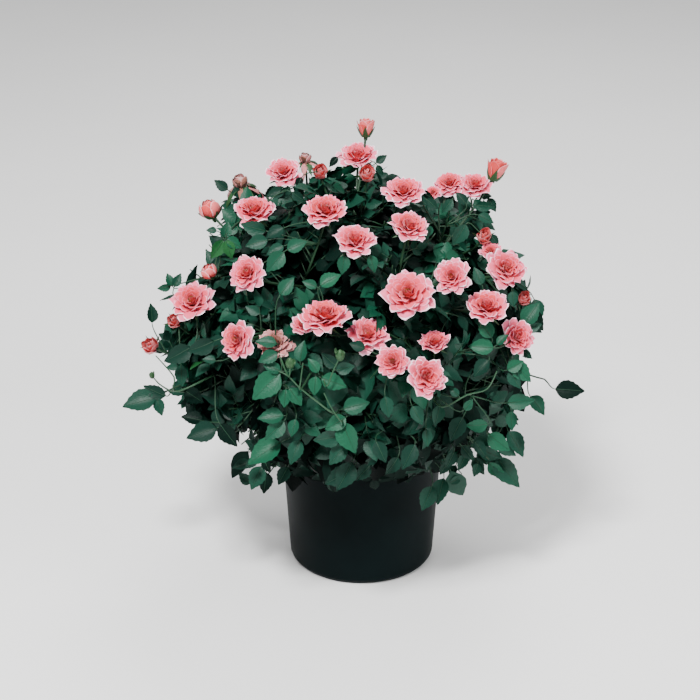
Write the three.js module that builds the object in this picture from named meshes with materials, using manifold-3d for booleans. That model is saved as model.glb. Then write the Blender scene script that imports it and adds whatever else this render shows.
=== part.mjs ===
// A miniature rose bush in a black nursery pot. Millimetres, +Z up, the front faces -Y.
// The origin is on the pot's axis, at the flat underside of the pot.
import * as THREE from "three";
import { mergeVertices } from "three/addons/utils/BufferGeometryUtils.js";
import Module from "manifold-3d";

const wasm = await Module();
wasm.setup();

const vec = (x, y, z) => new THREE.Vector3(x, y, z);
const UP = vec(0, 0, 1);
const DEG = Math.PI / 180;
const GOLDEN_TURN = 137.508 * DEG;
const CLEAR = 0.3; // gap between solids that touch on the real plant
const SMALLEST_EDGE = 0.05; // fused solids are tidied to this

// Pot and potting mix
const POT = {
  baseRadius: 69,
  footRadius: 74,
  footHeight: 8,
  bodyTopRadius: 82.5,
  bandRadius: 86.5,
  bandHeight: 18,
  height: 160,
  wall: 1.8,
  floor: 2.6,
  sides: 32,
};
const DRAIN = { holes: 5, radius: 5, circle: 46, sides: 8 };
const SOIL = { belowRim: 15, sides: 20, mound: 2 };
const SOIL_TOP = POT.height - SOIL.belowRim;

// Main stem: a short knuckle on the soil, from which the canes rise
const STUMP = { flareRadius: 20, neckRadius: 12.5, knuckleRadius: 15, neckHeight: 9, sides: 12 };
const KNUCKLE = vec(0, 0, SOIL_TOP + CLEAR + 16);

// Crown: an egg that is widest below its middle
const CROWN = { centre: vec(-10, 0, 250), wide: 186, deep: 176, up: 168, down: 148 };

// Foliage masses: one site in each sector of each ring, with a cane to every site
const RINGS = [
  { name: "top", sectors: 1, firstTurn: -90, rise: 90, reach: 0.52, leave: 90 },
  { name: "upper", sectors: 6, firstTurn: -120, rise: 40, reach: 0.6, leave: 58 },
  { name: "lower", sectors: 8, firstTurn: -90, rise: -18, reach: 0.64, leave: 27 },
];
const CANE = { footRadius: 4, tipRadius: 3.2, sides: 5, steps: 5, bend: 0.36, lift: 0.15 };
const STEM = { length: 64, radius: 3.2, tipRadius: 2.5, sides: 5, steps: 1, beforeSite: 0.62 };

// Shoots: they leave a stem at even steps, from its lowest to its highest share of length, the one
// with the lowest tip first. lean is how far a tip's facing turns up from straight out of the crown.
const TWIG = { radius: 1.6, tipRadius: 1.3, sides: 3, steps: 2 };
const SHOOT = { lowest: 0.1, highest: 0.96, bend: 0.3, straight: 2.5 };
const LEAN = { bloom: 0.35, bud: 1.1, spray: 0.35, filler: 0.35 };

// Leaves: each solid leaf stands for several leaflets. It is tried in up to LEAF_TRIES attitudes.
const LEAF = {
  length: 48, width: 32, fold: 4, sunk: 0.2, tipSunk: 0.9, // mm
  widest: 0.45, lastOfSpray: 0.85, vary: 0.3, shrinkEachTry: 0.07, droop: 0.4, // shares
  spread: 62, spreadVary: 40, // degrees from the shoot
};
const FLOWER_LEAVES = [0.3, 0.42, 0.54, 0.66, 0.78]; // shares of the shoot's length
const BARE_LEAVES = [1, 0.86, 0.72, 0.58, 0.44, 0.3];
const LEAF_TRIES = 6;
const LEAVES_CLEAR = 1; // from the border of the mass's own space
const HEAD_SHARE = 0.53; // a flower's radius with its petals' points, as a share of its width
const CROWN_REACH = 1.06; // how far a leaf may stand out of the crown, as a share of its radius

// Shoots without a place of their own, spread evenly over the crown
const FILLERS = 116;
const FILLER_LOWEST = -0.82;
const FILLER_SHARE = 0.86;
const BACK_BLOOM = { every: 2, across: 40, vary: 14, behind: 25, lowest: -0.4 };
const BACK_BUD = { every: 7, across: 16 };

// Front elevation: drawn from a viewpoint that is raised above the crown. side is measured from the
// pot's axis, up from the middle of its base, both across the line of sight.
const VIEW = { away: 2000, raised: 24 * DEG, aim: vec(-12, 0, 228), side: -12, up: 199 };
// Each row is side, up, width across, and where it isn't 1 the share of the crown's radius it sits at.
const FRONT_BLOOMS = [
  [-4, 394, 44], [-79, 377, 40], [-108, 340, 46], [-37, 340, 48], [-7, 309, 46], [47, 323, 44],
  [42, 358, 44], [87, 366, 34], [113, 365, 38, 1.06], [90, 272, 40], [144, 280, 46], [46, 255, 56],
  [125, 242, 48], [155, 212, 40], [-115, 276, 42], [-170, 248, 48], [-125, 209, 42, 1.04],
  [-37, 235, 56, 1.03], [6, 215, 46, 0.88], [31, 187, 38, 1.02], [64, 172, 46, 1.14],
  [73, 207, 36, 0.92], [-87, 206, 38, 0.95],
];
const FRONT_BUDS = [
  [4, 421, 15], [-42, 378, 17], [5, 376, 18], [-57, 392, 12], [-122, 369, 15], [-152, 340, 20],
  [-153, 278, 16], [-188, 229, 16], [-212, 204, 18], [134, 379, 18], [122, 313, 17], [162, 251, 15],
];
// The furthest leaf tips, each of them the end of a spray.
const FRONT_SPRAYS = [
  [-239, 143], [-200, 133], [-216, 162], [-210, 245], [-205, 260], [-180, 273], [-179, 131],
  [-175, 112], [-125, 101], [-131, 71], [-111, 58], [-97, 55], [-72, 56], [-42, 71], [-17, 61],
  [28, 79], [48, 69], [76, 43], [103, 49], [115, 72], [157, 60], [166, 89], [186, 133],
  [171, 166], [222, 161], [180, 216], [180, 249], [164, 301], [135, 343], [-147, 370], [-155, 317],
];

// ---------------------------------------------------------------- seeded numbers and the crown

// A number from 0 to 1 that depends only on what it is asked for.
function seeded(a, b = 0, c = 0) {
  const s = Math.sin(a * 12.9898 + b * 78.233 + c * 37.719) * 43758.5453;
  return s - Math.floor(s);
}

// How far out a point is: 1 on the crown's surface.
function outness(p) {
  const d = p.clone().sub(CROWN.centre);
  return Math.hypot(d.x / CROWN.wide, d.y / CROWN.deep, d.z / (d.z > 0 ? CROWN.up : CROWN.down));
}

function outward(p) {
  const d = p.clone().sub(CROWN.centre);
  const tall = d.z > 0 ? CROWN.up : CROWN.down;
  return vec(d.x / CROWN.wide ** 2, d.y / CROWN.deep ** 2, d.z / tall ** 2).normalize();
}

const direction = (turn, rise) =>
  vec(Math.cos(turn) * Math.cos(rise), Math.sin(turn) * Math.cos(rise), Math.sin(rise));

// The point at a share of the crown's radius in a direction.
function inCrown(toward, share) {
  const far = outness(CROWN.centre.clone().add(toward));
  return CROWN.centre.clone().addScaledVector(toward, share / far);
}

// Where the line of sight through a place on the front elevation meets the crown at a share of its
// radius, or passes nearest.
function onFront(side, up, share = 1) {
  const ahead = vec(0, Math.cos(VIEW.raised), -Math.sin(VIEW.raised));
  const upright = vec(0, Math.sin(VIEW.raised), Math.cos(VIEW.raised));
  const eye = VIEW.aim.clone().addScaledVector(ahead, -VIEW.away);
  const seen = VIEW.aim.clone().addScaledVector(upright, up - VIEW.up);
  seen.x += side - VIEW.side;
  const sight = seen.sub(eye).normalize();
  const [start, end, step] = [VIEW.away - 300, VIEW.away + 300, 2];
  let nearest = eye.clone().addScaledVector(sight, start);
  for (let far = start; far < end && outness(nearest) > share; far += step) {
    const p = eye.clone().addScaledVector(sight, far);
    if (outness(p) < outness(nearest)) nearest = p;
  }
  return { point: nearest, scale: nearest.distanceTo(eye) / VIEW.away };
}

// ---------------------------------------------------------------- solids

// A closed three.js geometry as a solid.
function solidOf(geometry) {
  const bare = (geometry.index ? geometry.toNonIndexed() : geometry.clone());
  bare.deleteAttribute("normal");
  bare.deleteAttribute("uv");
  const merged = mergeVertices(bare, 1e-3);
  const mesh = new wasm.Mesh({
    numProp: 3,
    vertProperties: merged.attributes.position.array,
    triVerts: new Uint32Array(merged.index.array),
  });
  return new wasm.Manifold(mesh);
}

// The largest body of a solid as a geometry: loose scraps and sealed hollows are dropped.
function geometryOf(solid) {
  const bodies = solid.decompose().sort((a, b) => b.volume() - a.volume());
  const mesh = bodies[0].getMesh();
  return new THREE.BufferGeometry()
    .setAttribute("position", new THREE.BufferAttribute(new Float32Array(mesh.vertProperties), 3))
    .setIndex(new THREE.BufferAttribute(new Uint32Array(mesh.triVerts), 1));
}

// Turns a lathe's Y axis up to +Z.
const upright = (geometry) => geometry.rotateX(Math.PI / 2);

const lathe = (profile, sides) =>
  upright(new THREE.LatheGeometry(profile.map(([r, z]) => new THREE.Vector2(r, z)), sides));

// Two unit vectors across a direction.
function across(along) {
  const side = new THREE.Vector3().crossVectors(along, Math.abs(along.z) < 0.9 ? UP : vec(1, 0, 0));
  side.normalize();
  return [side, new THREE.Vector3().crossVectors(side, along).normalize()];
}

// A curve's points joined by straight stretches, as a limb with that many steps runs.
class Stretches extends THREE.Curve {
  constructor(curve, steps) {
    super();
    this.joints = curve.getPoints(steps);
  }
  getPoint(t, target = vec(0, 0, 0)) {
    const far = t * (this.joints.length - 1);
    const i = Math.min(Math.floor(far), this.joints.length - 2);
    return target.lerpVectors(this.joints[i], this.joints[i + 1], far - i);
  }
}

// A tapering limb along a curve, with flat ends.
function limb(curve, radius, tipRadius, sides, steps) {
  const points = [];
  const faces = [];
  let [u] = across(curve.getTangent(0));
  for (let i = 0; i <= steps; i++) {
    const t = i / steps;
    const along = curve.getTangent(t);
    u = u.addScaledVector(along, -u.dot(along)).normalize();
    const v = new THREE.Vector3().crossVectors(along, u);
    const r = THREE.MathUtils.lerp(radius, tipRadius, t);
    for (let k = 0; k < sides; k++) {
      const turn = (2 * Math.PI * k) / sides;
      const p = curve.getPoint(t);
      p.addScaledVector(u, r * Math.cos(turn)).addScaledVector(v, r * Math.sin(turn));
      points.push(p.x, p.y, p.z);
    }
  }
  const corner = (i, k) => i * sides + (k % sides);
  for (let i = 0; i < steps; i++)
    for (let k = 0; k < sides; k++)
      faces.push(
        corner(i, k), corner(i, k + 1), corner(i + 1, k + 1),
        corner(i, k), corner(i + 1, k + 1), corner(i + 1, k),
      );
  for (let k = 1; k < sides - 1; k++) {
    faces.push(corner(0, 0), corner(0, k + 1), corner(0, k));
    faces.push(corner(steps, 0), corner(steps, k), corner(steps, k + 1));
  }
  const geometry = new THREE.BufferGeometry();
  geometry.setAttribute("position", new THREE.Float32BufferAttribute(points, 3));
  return geometry.setIndex(faces);
}

// A frame with X along the leaf, Y across it and Z out of its upper face.
function placed(geometry, origin, along, face) {
  const y = new THREE.Vector3().crossVectors(face, along).normalize();
  const z = new THREE.Vector3().crossVectors(along, y).normalize();
  const matrix = new THREE.Matrix4().makeBasis(along, y, z).setPosition(origin);
  return geometry.applyMatrix4(matrix);
}

// A leaf from its root along +X, with four faces: it is folded along its midrib.
function leafBlade(leaf) {
  const [far, half] = [LEAF.widest * leaf.length, leaf.width / 2];
  const corners = [[0, 0, 0], [far, half, -LEAF.fold], [leaf.length, 0, 0], [far, -half, -LEAF.fold]];
  const blade = new THREE.BufferGeometry();
  blade.setAttribute("position", new THREE.Float32BufferAttribute(corners.flat(), 3));
  blade.setIndex([0, 2, 1, 0, 3, 2, 0, 1, 3, 2, 3, 1]);
  return placed(blade, leaf.root, leaf.along, leaf.face);
}

// An open rose: a star-shaped skirt of petals round a raised heart with a dimple.
function roseHead(bloom) {
  const r = bloom.across / 2;
  const petals = 5;
  const star = { out: 0.13, up: 0.07 };
  const profile = [[0, -0.5], [0.93, 0], [0.5, 0.3], [0, 0.16]];
  const head = lathe(profile, 2 * petals);
  const place = head.attributes.position;
  for (let i = 0; i < place.count; i++) {
    const [x, y, z] = [place.getX(i), place.getY(i), place.getZ(i)];
    const turn = Math.atan2(y, x);
    const inner = z > 0.1;
    const wave = Math.cos(petals * turn + (inner ? Math.PI : 0)) * (Math.hypot(x, y) > 0.1 ? 1 : 0);
    const swell = 1 + star.out * wave;
    place.setXYZ(i, x * swell * r, y * swell * r, (z + star.up * wave) * r);
  }
  // Its stalk comes in beside the middle, through one face.
  const [beside, turn] = [0.36 * r, Math.PI / (2 * petals)];
  head.translate(-beside * Math.cos(turn), -beside * Math.sin(turn), 0);
  const [side] = across(bloom.facing);
  const turned = side.applyAxisAngle(bloom.facing, 2 * Math.PI * seeded(bloom.seed, 5));
  return placed(head, bloom.point, turned, bloom.facing);
}

// A closed or half-open bud, longer than it is wide.
function budHead(bud) {
  const r = bud.across / 2;
  const profile = [[0, -1.1], [0.95, -0.2], [0.7, 0.8], [0, 1.1]];
  const head = lathe(profile, 5);
  head.scale(r, r, r);
  const [side] = across(bud.facing);
  return placed(head, bud.point, side, bud.facing);
}

// ---------------------------------------------------------------- the growth rule

// Every shoot's tip, with what it carries.
function shootTips() {
  const tips = [];
  const add = (kind, point, size) => {
    const facing = outward(point).addScaledVector(UP, LEAN[kind]).normalize();
    tips.push({ kind, point, facing, across: size, seed: tips.length + 1 });
  };
  const addRows = (kind, rows) => {
    for (const [side, up, size = 0, share = 1] of rows) {
      const { point, scale } = onFront(side, up, share);
      add(kind, point, size * scale);
    }
  };
  addRows("bloom", FRONT_BLOOMS);
  addRows("bud", FRONT_BUDS);
  addRows("spray", FRONT_SPRAYS);
  const placedTips = tips.slice();
  for (let i = 0; i < FILLERS; i++) {
    const height = 1 - ((i + 0.5) / FILLERS) * (1 - FILLER_LOWEST);
    const toward = direction(i * GOLDEN_TURN, Math.asin(height));
    const outer = inCrown(toward, 0.97);
    const back = outer.y > BACK_BLOOM.behind && height > BACK_BLOOM.lowest;
    const crowded = placedTips.some((t) => t.across && t.point.distanceTo(outer) < t.across / 2 + 16);
    if (crowded) continue;
    if (back && i % BACK_BUD.every === 1) add("bud", outer, BACK_BUD.across);
    else if (back && i % BACK_BLOOM.every === 0)
      add("bloom", outer, BACK_BLOOM.across + BACK_BLOOM.vary * (seeded(i, 1) - 0.5));
    else add("filler", inCrown(toward, FILLER_SHARE), 0);
  }
  return tips;
}

// The masses: a site, and a cane that rises from the knuckle and ends at the mass's own stem.
function foliageMasses() {
  const masses = [];
  for (const ring of RINGS)
    for (let i = 0; i < ring.sectors; i++) {
      const turn = (ring.firstTurn + (360 / ring.sectors) * i) * DEG;
      const site = inCrown(direction(turn, ring.rise * DEG), ring.reach);
      const leave = direction(turn, ring.leave * DEG);
      const foot = KNUCKLE.clone().addScaledVector(leave, STUMP.knuckleRadius + CLEAR);
      const arrive = site.clone().sub(KNUCKLE).normalize().addScaledVector(UP, CANE.lift).normalize();
      const tip = site.clone().addScaledVector(arrive, -STEM.length * STEM.beforeSite);
      const pull = foot.distanceTo(tip) * CANE.bend;
      const path = new THREE.CubicBezierCurve3(
        foot,
        foot.clone().addScaledVector(leave, pull),
        tip.clone().addScaledVector(arrive, -pull),
        tip,
      );
      const name = ring.sectors > 1 ? `${ring.name}_${i + 1}` : ring.name;
      masses.push({ name, site, path, arrive });
    }
  return masses;
}

const masses = foliageMasses();
const tips = shootTips();

const nearestMass = (p) =>
  masses.reduce((a, b) => (b.site.distanceTo(p) < a.site.distanceTo(p) ? b : a));

// True if a point is inside the mass's own space, which ends halfway to each neighbour's site.
function inOwnSpace(p, mass, clear) {
  return masses.every((other) => {
    if (other === mass) return true;
    const gap = other.site.clone().sub(mass.site);
    const middle = mass.site.clone().add(other.site).multiplyScalar(0.5);
    return p.clone().sub(middle).dot(gap) / gap.length() < -clear;
  });
}

// A flower that crowds an earlier one belongs to the same mass.
for (const tip of tips) {
  const crowded = tips.find(
    (t) => t.mass && t.point.distanceTo(tip.point) < (t.across + tip.across) * HEAD_SHARE,
  );
  tip.mass = crowded && tip.across ? crowded.mass : nearestMass(tip.point);
}
for (const mass of masses) {
  const foot = mass.path.getPoint(1).addScaledVector(mass.arrive, CLEAR);
  mass.stem = new THREE.LineCurve3(foot, foot.clone().addScaledVector(mass.arrive, STEM.length));
  const height = (tip) => tip.point.dot(mass.arrive);
  mass.tips = tips.filter((tip) => tip.mass === mass).sort((a, b) => height(a) - height(b));
  mass.tips.forEach((tip, i) => {
    tip.curve = shootCurve(tip, mass.stem, (i + 0.5) / mass.tips.length);
    tip.trace = tip.curve.getPoints(10);
  });
}

// The shoot from a mass's stem to a tip. It meets a flower along its facing, and ends where a
// spray's last leaf begins.
function shootCurve(tip, stem, rank) {
  const start = stem.getPoint(THREE.MathUtils.lerp(SHOOT.lowest, SHOOT.highest, rank));
  const straight = tip.point.clone().sub(start).normalize();
  const arrive = tip.facing.clone().addScaledVector(straight, tip.across ? 0 : SHOOT.straight).normalize();
  const end = tip.point.clone();
  if (tip.kind === "spray") end.addScaledVector(arrive, -LEAF.length * LEAF.lastOfSpray);
  const swing = SHOOT.bend * start.distanceTo(end);
  const curve = new THREE.CubicBezierCurve3(
    start,
    start.clone().addScaledVector(straight, swing),
    end.clone().addScaledVector(arrive, -swing),
    end,
  );
  return new Stretches(curve, TWIG.steps);
}

// The places of a shoot's leaves: alternate sides of its outer part, and its tip if that is bare.
const leafStations = (tip) => (tip.across ? FLOWER_LEAVES : BARE_LEAVES);

// A leaf at a share of a shoot's length. Each further try turns it on and makes it smaller.
function leafOn(tip, t, rank, attempt) {
  const point = tip.curve.getPoint(t);
  const along = tip.curve.getTangent(t);
  const face = outward(point).addScaledVector(UP, 0.5);
  face.addScaledVector(along, -face.dot(along) * 0.8).normalize();
  const side = t === 1 ? 0 : (rank % 2 ? 1 : -1) * (attempt % 2 ? -1 : 1);
  const spread = LEAF.spread + LEAF.spreadVary * (seeded(tip.seed, rank, attempt) - 0.5);
  const heading = along.clone().applyAxisAngle(face, spread * side * DEG);
  heading.addScaledVector(UP, -LEAF.droop * seeded(tip.seed, rank, attempt + 10)).normalize();
  const own = 1 - LEAF.vary * (seeded(tip.seed, rank, 9) - 0.4);
  const size = own * (1 - LEAF.shrinkEachTry * attempt);
  const leaf = { along: heading, face, length: LEAF.length * size, width: LEAF.width * size };
  if (t === 1 && tip.kind === "spray") {
    leaf.length = point.distanceTo(tip.point);
    leaf.along = tip.point.clone().sub(point).divideScalar(leaf.length);
  }
  leaf.root = point.clone().addScaledVector(leaf.along, t === 1 ? -LEAF.tipSunk : -LEAF.sunk);
  return leaf;
}

// The corners and midline of a leaf, for testing that it keeps to its space.
function leafPoints(leaf) {
  const side = new THREE.Vector3().crossVectors(leaf.face, leaf.along).normalize();
  const { widest } = LEAF;
  const places = [[0.2, 0], [0.5, 0], [0.8, 0], [1, 0], [widest, 1], [widest, -1], [0.7, 0.5], [0.7, -0.5]];
  return places.map(([along, sideways]) =>
    leaf.root.clone()
      .addScaledVector(leaf.along, along * leaf.length)
      .addScaledVector(side, (sideways * leaf.width) / 2),
  );
}

function keepsToSpace(points, tip, clear) {
  const reach = tip.kind === "spray" ? Infinity : CROWN_REACH;
  return points.every((p) => outness(p) < reach && inOwnSpace(p, tip.mass, clear));
}

// A solid with its bounds, which rule out most tests for touching.
function boxed(solid) {
  const { min, max } = solid.boundingBox();
  return { solid, box: new THREE.Box3(vec(...min), vec(...max)) };
}

const touches = (one, others) =>
  others.some((other) => one.box.intersectsBox(other.box) && !one.solid.intersect(other.solid).isEmpty());

// A mass's stem, a shoot's twig and a flower's head, larger all round by a gap where one is wanted.
const massStem = (mass, gap = 0) =>
  solidOf(limb(mass.stem, STEM.radius + gap, STEM.tipRadius + gap, STEM.sides, STEM.steps));
const twigOf = (tip, gap = 0) =>
  solidOf(limb(tip.curve, TWIG.radius + gap, TWIG.tipRadius + gap, TWIG.sides, TWIG.steps));
function headOf(tip, gap = 0) {
  const sized = { ...tip, across: tip.across + 2 * gap };
  return solidOf(tip.kind === "bloom" ? roseHead(sized) : budHead(sized));
}

// What each mass's twigs and leaves keep clear of: the pot, the canes, and the other masses'
// stems and flowers.
function obstacles() {
  const { bandRadius, height } = POT;
  const potSpace = new THREE.CylinderGeometry(bandRadius + 1, bandRadius + 1, height + 1, POT.sides);
  const found = [boxed(solidOf(upright(potSpace).translate(0, 0, (height + 1) / 2)))];
  for (const mass of masses) {
    found.push(boxed(solidOf(cane(mass, CLEAR))));
    found.push({ mass, ...boxed(massStem(mass, CLEAR)) });
    for (const tip of mass.tips.filter((t) => t.across)) {
      found.push({ mass, ...boxed(twigOf(tip, CLEAR)) });
      found.push({ mass, ...boxed(headOf(tip, CLEAR)) });
    }
  }
  return found;
}

// One mass: its stem, and on it every shoot whose tip lies in its space, fused. Its leaves keep
// clear of each other and of every shoot and flower but their own.
function foliageMass(mass, foreign) {
  const stem = massStem(mass);
  const shoots = [];
  for (const tip of mass.tips) {
    const twig = boxed(twigOf(tip));
    if (!tip.across && touches(twig, foreign)) continue;
    if (!tip.across && !keepsToSpace(tip.trace.slice(1), tip, TWIG.radius + CLEAR)) continue;
    const heads = tip.across ? [boxed(headOf(tip))] : [];
    shoots.push({ tip, twig, heads });
  }
  const leaves = [];
  for (const shoot of shoots) {
    const others = shoots.filter((s) => s !== shoot).flatMap((s) => [s.twig, ...s.heads]);
    others.push(boxed(stem), ...shoot.heads, ...foreign);
    leafStations(shoot.tip).forEach((t, rank) => {
      for (let attempt = 0; attempt < LEAF_TRIES; attempt++) {
        const leaf = leafOn(shoot.tip, t, rank, attempt);
        if (!keepsToSpace(leafPoints(leaf), shoot.tip, LEAVES_CLEAR)) continue;
        const blade = boxed(solidOf(leafBlade(leaf)));
        if (touches(blade, leaves) || touches(blade, others)) continue;
        leaves.push(blade);
        return;
      }
    });
  }
  const pieces = [...shoots.flatMap((s) => [s.twig, ...s.heads]), ...leaves];
  const whole = wasm.Manifold.union([stem, ...pieces.map((piece) => piece.solid)]);
  return geometryOf(whole.simplify(SMALLEST_EDGE));
}

// ---------------------------------------------------------------- pot, soil, stump and canes

// The pot's outside or inside radius at a height, below its band.
const bodyRadius = (z) =>
  THREE.MathUtils.mapLinear(
    z, POT.footHeight, POT.height - POT.bandHeight, POT.footRadius, POT.bodyTopRadius,
  );

function pot() {
  const bandFoot = POT.height - POT.bandHeight;
  const w = POT.wall;
  const profile = [
    [0, 0],
    [POT.baseRadius, 0],
    [POT.footRadius, POT.footHeight],
    [POT.bodyTopRadius, bandFoot],
    [POT.bandRadius, bandFoot + 1.5],
    [POT.bandRadius, POT.height],
    [POT.bandRadius - w, POT.height],
    [POT.bandRadius - w, bandFoot + 3],
    [POT.bodyTopRadius - w, bandFoot + 1],
    [POT.footRadius - w, POT.footHeight],
    [POT.baseRadius - w, POT.floor],
    [0, POT.floor],
  ];
  let shell = solidOf(lathe(profile, POT.sides));
  for (let i = 0; i < DRAIN.holes; i++) {
    const turn = (2 * Math.PI * i) / DRAIN.holes + Math.PI / 2;
    const drill = upright(new THREE.CylinderGeometry(DRAIN.radius, DRAIN.radius, 12, DRAIN.sides));
    drill.translate(DRAIN.circle * Math.cos(turn), DRAIN.circle * Math.sin(turn), 0);
    shell = shell.subtract(solidOf(drill));
  }
  return geometryOf(shell);
}

function pottingSoil() {
  const gap = POT.wall + 2 * CLEAR;
  const profile = [
    [0, POT.floor + CLEAR],
    [POT.baseRadius - gap, POT.floor + CLEAR],
    [POT.footRadius - gap, POT.footHeight],
    [bodyRadius(SOIL_TOP - SOIL.mound) - gap - 1, SOIL_TOP - SOIL.mound],
    [STUMP.flareRadius + 10, SOIL_TOP],
    [0, SOIL_TOP],
  ];
  return lathe(profile, SOIL.sides);
}

function stump() {
  const ground = SOIL_TOP + CLEAR;
  const profile = [
    [0, ground],
    [STUMP.flareRadius, ground],
    [STUMP.flareRadius - 5, ground + 3],
    [STUMP.neckRadius, ground + STUMP.neckHeight],
  ];
  for (let rise = -20; rise <= 80; rise += 20)
    profile.push([
      STUMP.knuckleRadius * Math.cos(rise * DEG),
      KNUCKLE.z + STUMP.knuckleRadius * Math.sin(rise * DEG),
    ]);
  profile.push([0, KNUCKLE.z + STUMP.knuckleRadius]);
  return lathe(profile, STUMP.sides);
}

// A cane, larger all round by a gap where one is wanted.
const cane = (mass, gap = 0) =>
  limb(mass.path, CANE.footRadius + gap, CANE.tipRadius + gap, CANE.sides, CANE.steps);

// ---------------------------------------------------------------- materials and scene

const finish = (color, roughness) =>
  new THREE.MeshStandardMaterial({ color, roughness, metalness: 0, flatShading: true });
const BLACK_PLASTIC = finish(0x15191b, 0.5);
const POTTING_MIX = finish(0x2b211a, 1);
const GREEN_BARK = finish(0x4d5a34, 0.8);
const ROSE_FOLIAGE = finish(0x1f5a3a, 0.6);

const bush = new THREE.Group();
bush.name = "rose_bush_in_pot";

function addPart(name, geometry, material) {
  const mesh = new THREE.Mesh(geometry, material);
  mesh.name = name;
  bush.add(mesh);
}

addPart("pot", pot(), BLACK_PLASTIC);
addPart("potting_soil", pottingSoil(), POTTING_MIX);
addPart("main_stem", stump(), GREEN_BARK);
for (const mass of masses) addPart(`cane_${mass.name}`, cane(mass), GREEN_BARK);
const inTheWay = obstacles();
for (const mass of masses) {
  const foreign = inTheWay.filter((obstacle) => obstacle.mass !== mass);
  addPart(`foliage_${mass.name}`, foliageMass(mass, foreign), ROSE_FOLIAGE);
}

export default bush;
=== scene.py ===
"""A miniature rose bush in a black nursery pot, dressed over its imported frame.

The bush grows by the rule that its solids follow, carried on to compound leaves, petals and
sepals. The rule's lengths are millimetres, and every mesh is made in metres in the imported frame.
"""

from __future__ import annotations

import logging
import math
from dataclasses import dataclass, field
from enum import Enum
from typing import Iterable, Sequence

import bpy
import numpy as np
from mathutils import Matrix, Vector


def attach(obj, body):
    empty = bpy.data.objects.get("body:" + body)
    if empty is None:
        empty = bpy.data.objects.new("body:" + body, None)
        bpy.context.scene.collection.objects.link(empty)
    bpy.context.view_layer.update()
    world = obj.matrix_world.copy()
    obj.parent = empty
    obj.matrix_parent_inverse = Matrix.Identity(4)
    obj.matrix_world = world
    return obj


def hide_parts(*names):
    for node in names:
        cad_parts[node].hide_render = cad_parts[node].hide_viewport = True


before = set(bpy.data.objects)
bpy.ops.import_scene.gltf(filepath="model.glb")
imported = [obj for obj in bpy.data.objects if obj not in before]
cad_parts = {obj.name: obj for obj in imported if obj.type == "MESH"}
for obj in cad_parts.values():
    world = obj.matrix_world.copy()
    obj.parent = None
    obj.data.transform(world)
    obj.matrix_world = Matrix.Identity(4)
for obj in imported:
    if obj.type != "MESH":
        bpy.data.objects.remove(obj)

LOG = logging.getLogger("rose_bush")
MM = 0.001
UP = Vector((0.0, 0.0, 1.0))
GOLDEN_TURN = math.radians(137.508)
BODY = "root"
PETAL_GLOW = (1.0, 0.5, 0.4)
PETAL_GLOW_DEPTH = 3 * MM
# How many grains wide the uneven patches of a leaf's or petal's gloss are.
PATCH_SIZE = 6

Colour = tuple[float, float, float]
Row = tuple[float, ...]


# ---------------------------------------------------------------- finishes


def start_material(
    name: str, specular: float
) -> tuple[bpy.types.Material, bpy.types.NodeTree, bpy.types.Node]:
    """Starts a material with plain base colour.

    Args:
        name: Its name.
        specular: How strongly it mirrors.

    Returns:
        The material, its nodes and its shader.
    """
    material = bpy.data.materials.new(name)
    material.use_nodes = True
    tree = material.node_tree
    shader = tree.nodes["Principled BSDF"]
    shader.inputs["Specular IOR Level"].default_value = specular
    return material, tree, shader


def noise_pattern(
    tree: bpy.types.NodeTree, place: bpy.types.NodeSocket, scale: float, detail: float
) -> bpy.types.NodeSocket:
    """Adds a noise pattern to a material.

    Args:
        tree: The material's nodes.
        place: The coordinates that the pattern lies on.
        scale: How fine the pattern is, in turns a metre.
        detail: How many finer layers it has.

    Returns:
        The pattern's value.
    """
    noise = tree.nodes.new("ShaderNodeTexNoise")
    noise.inputs["Scale"].default_value = scale
    noise.inputs["Detail"].default_value = detail
    tree.links.new(place, noise.inputs["Vector"])
    return noise.outputs["Fac"]


def spread_over(
    tree: bpy.types.NodeTree, pattern: bpy.types.NodeSocket, ends: tuple[float, float]
) -> bpy.types.NodeSocket:
    """Spreads a pattern's value over a range.

    Args:
        tree: The material's nodes.
        pattern: The pattern's value.
        ends: The range.

    Returns:
        The value within the range.
    """
    spread = tree.nodes.new("ShaderNodeMapRange")
    spread.inputs["To Min"].default_value = ends[0]
    spread.inputs["To Max"].default_value = ends[1]
    tree.links.new(pattern, spread.inputs["Value"])
    return spread.outputs["Result"]


def add_relief(
    tree: bpy.types.NodeTree, shader: bpy.types.Node, pattern: bpy.types.NodeSocket, strength: float
) -> None:
    """Gives a shader a fine relief, a millimetre deep at full strength.

    Args:
        tree: The material's nodes.
        shader: The shader.
        pattern: The relief's height.
        strength: How strong it is.
    """
    bump = tree.nodes.new("ShaderNodeBump")
    bump.inputs["Strength"].default_value = strength
    bump.inputs["Distance"].default_value = MM
    tree.links.new(pattern, bump.inputs["Height"])
    tree.links.new(bump.outputs["Normal"], shader.inputs["Normal"])


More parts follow.
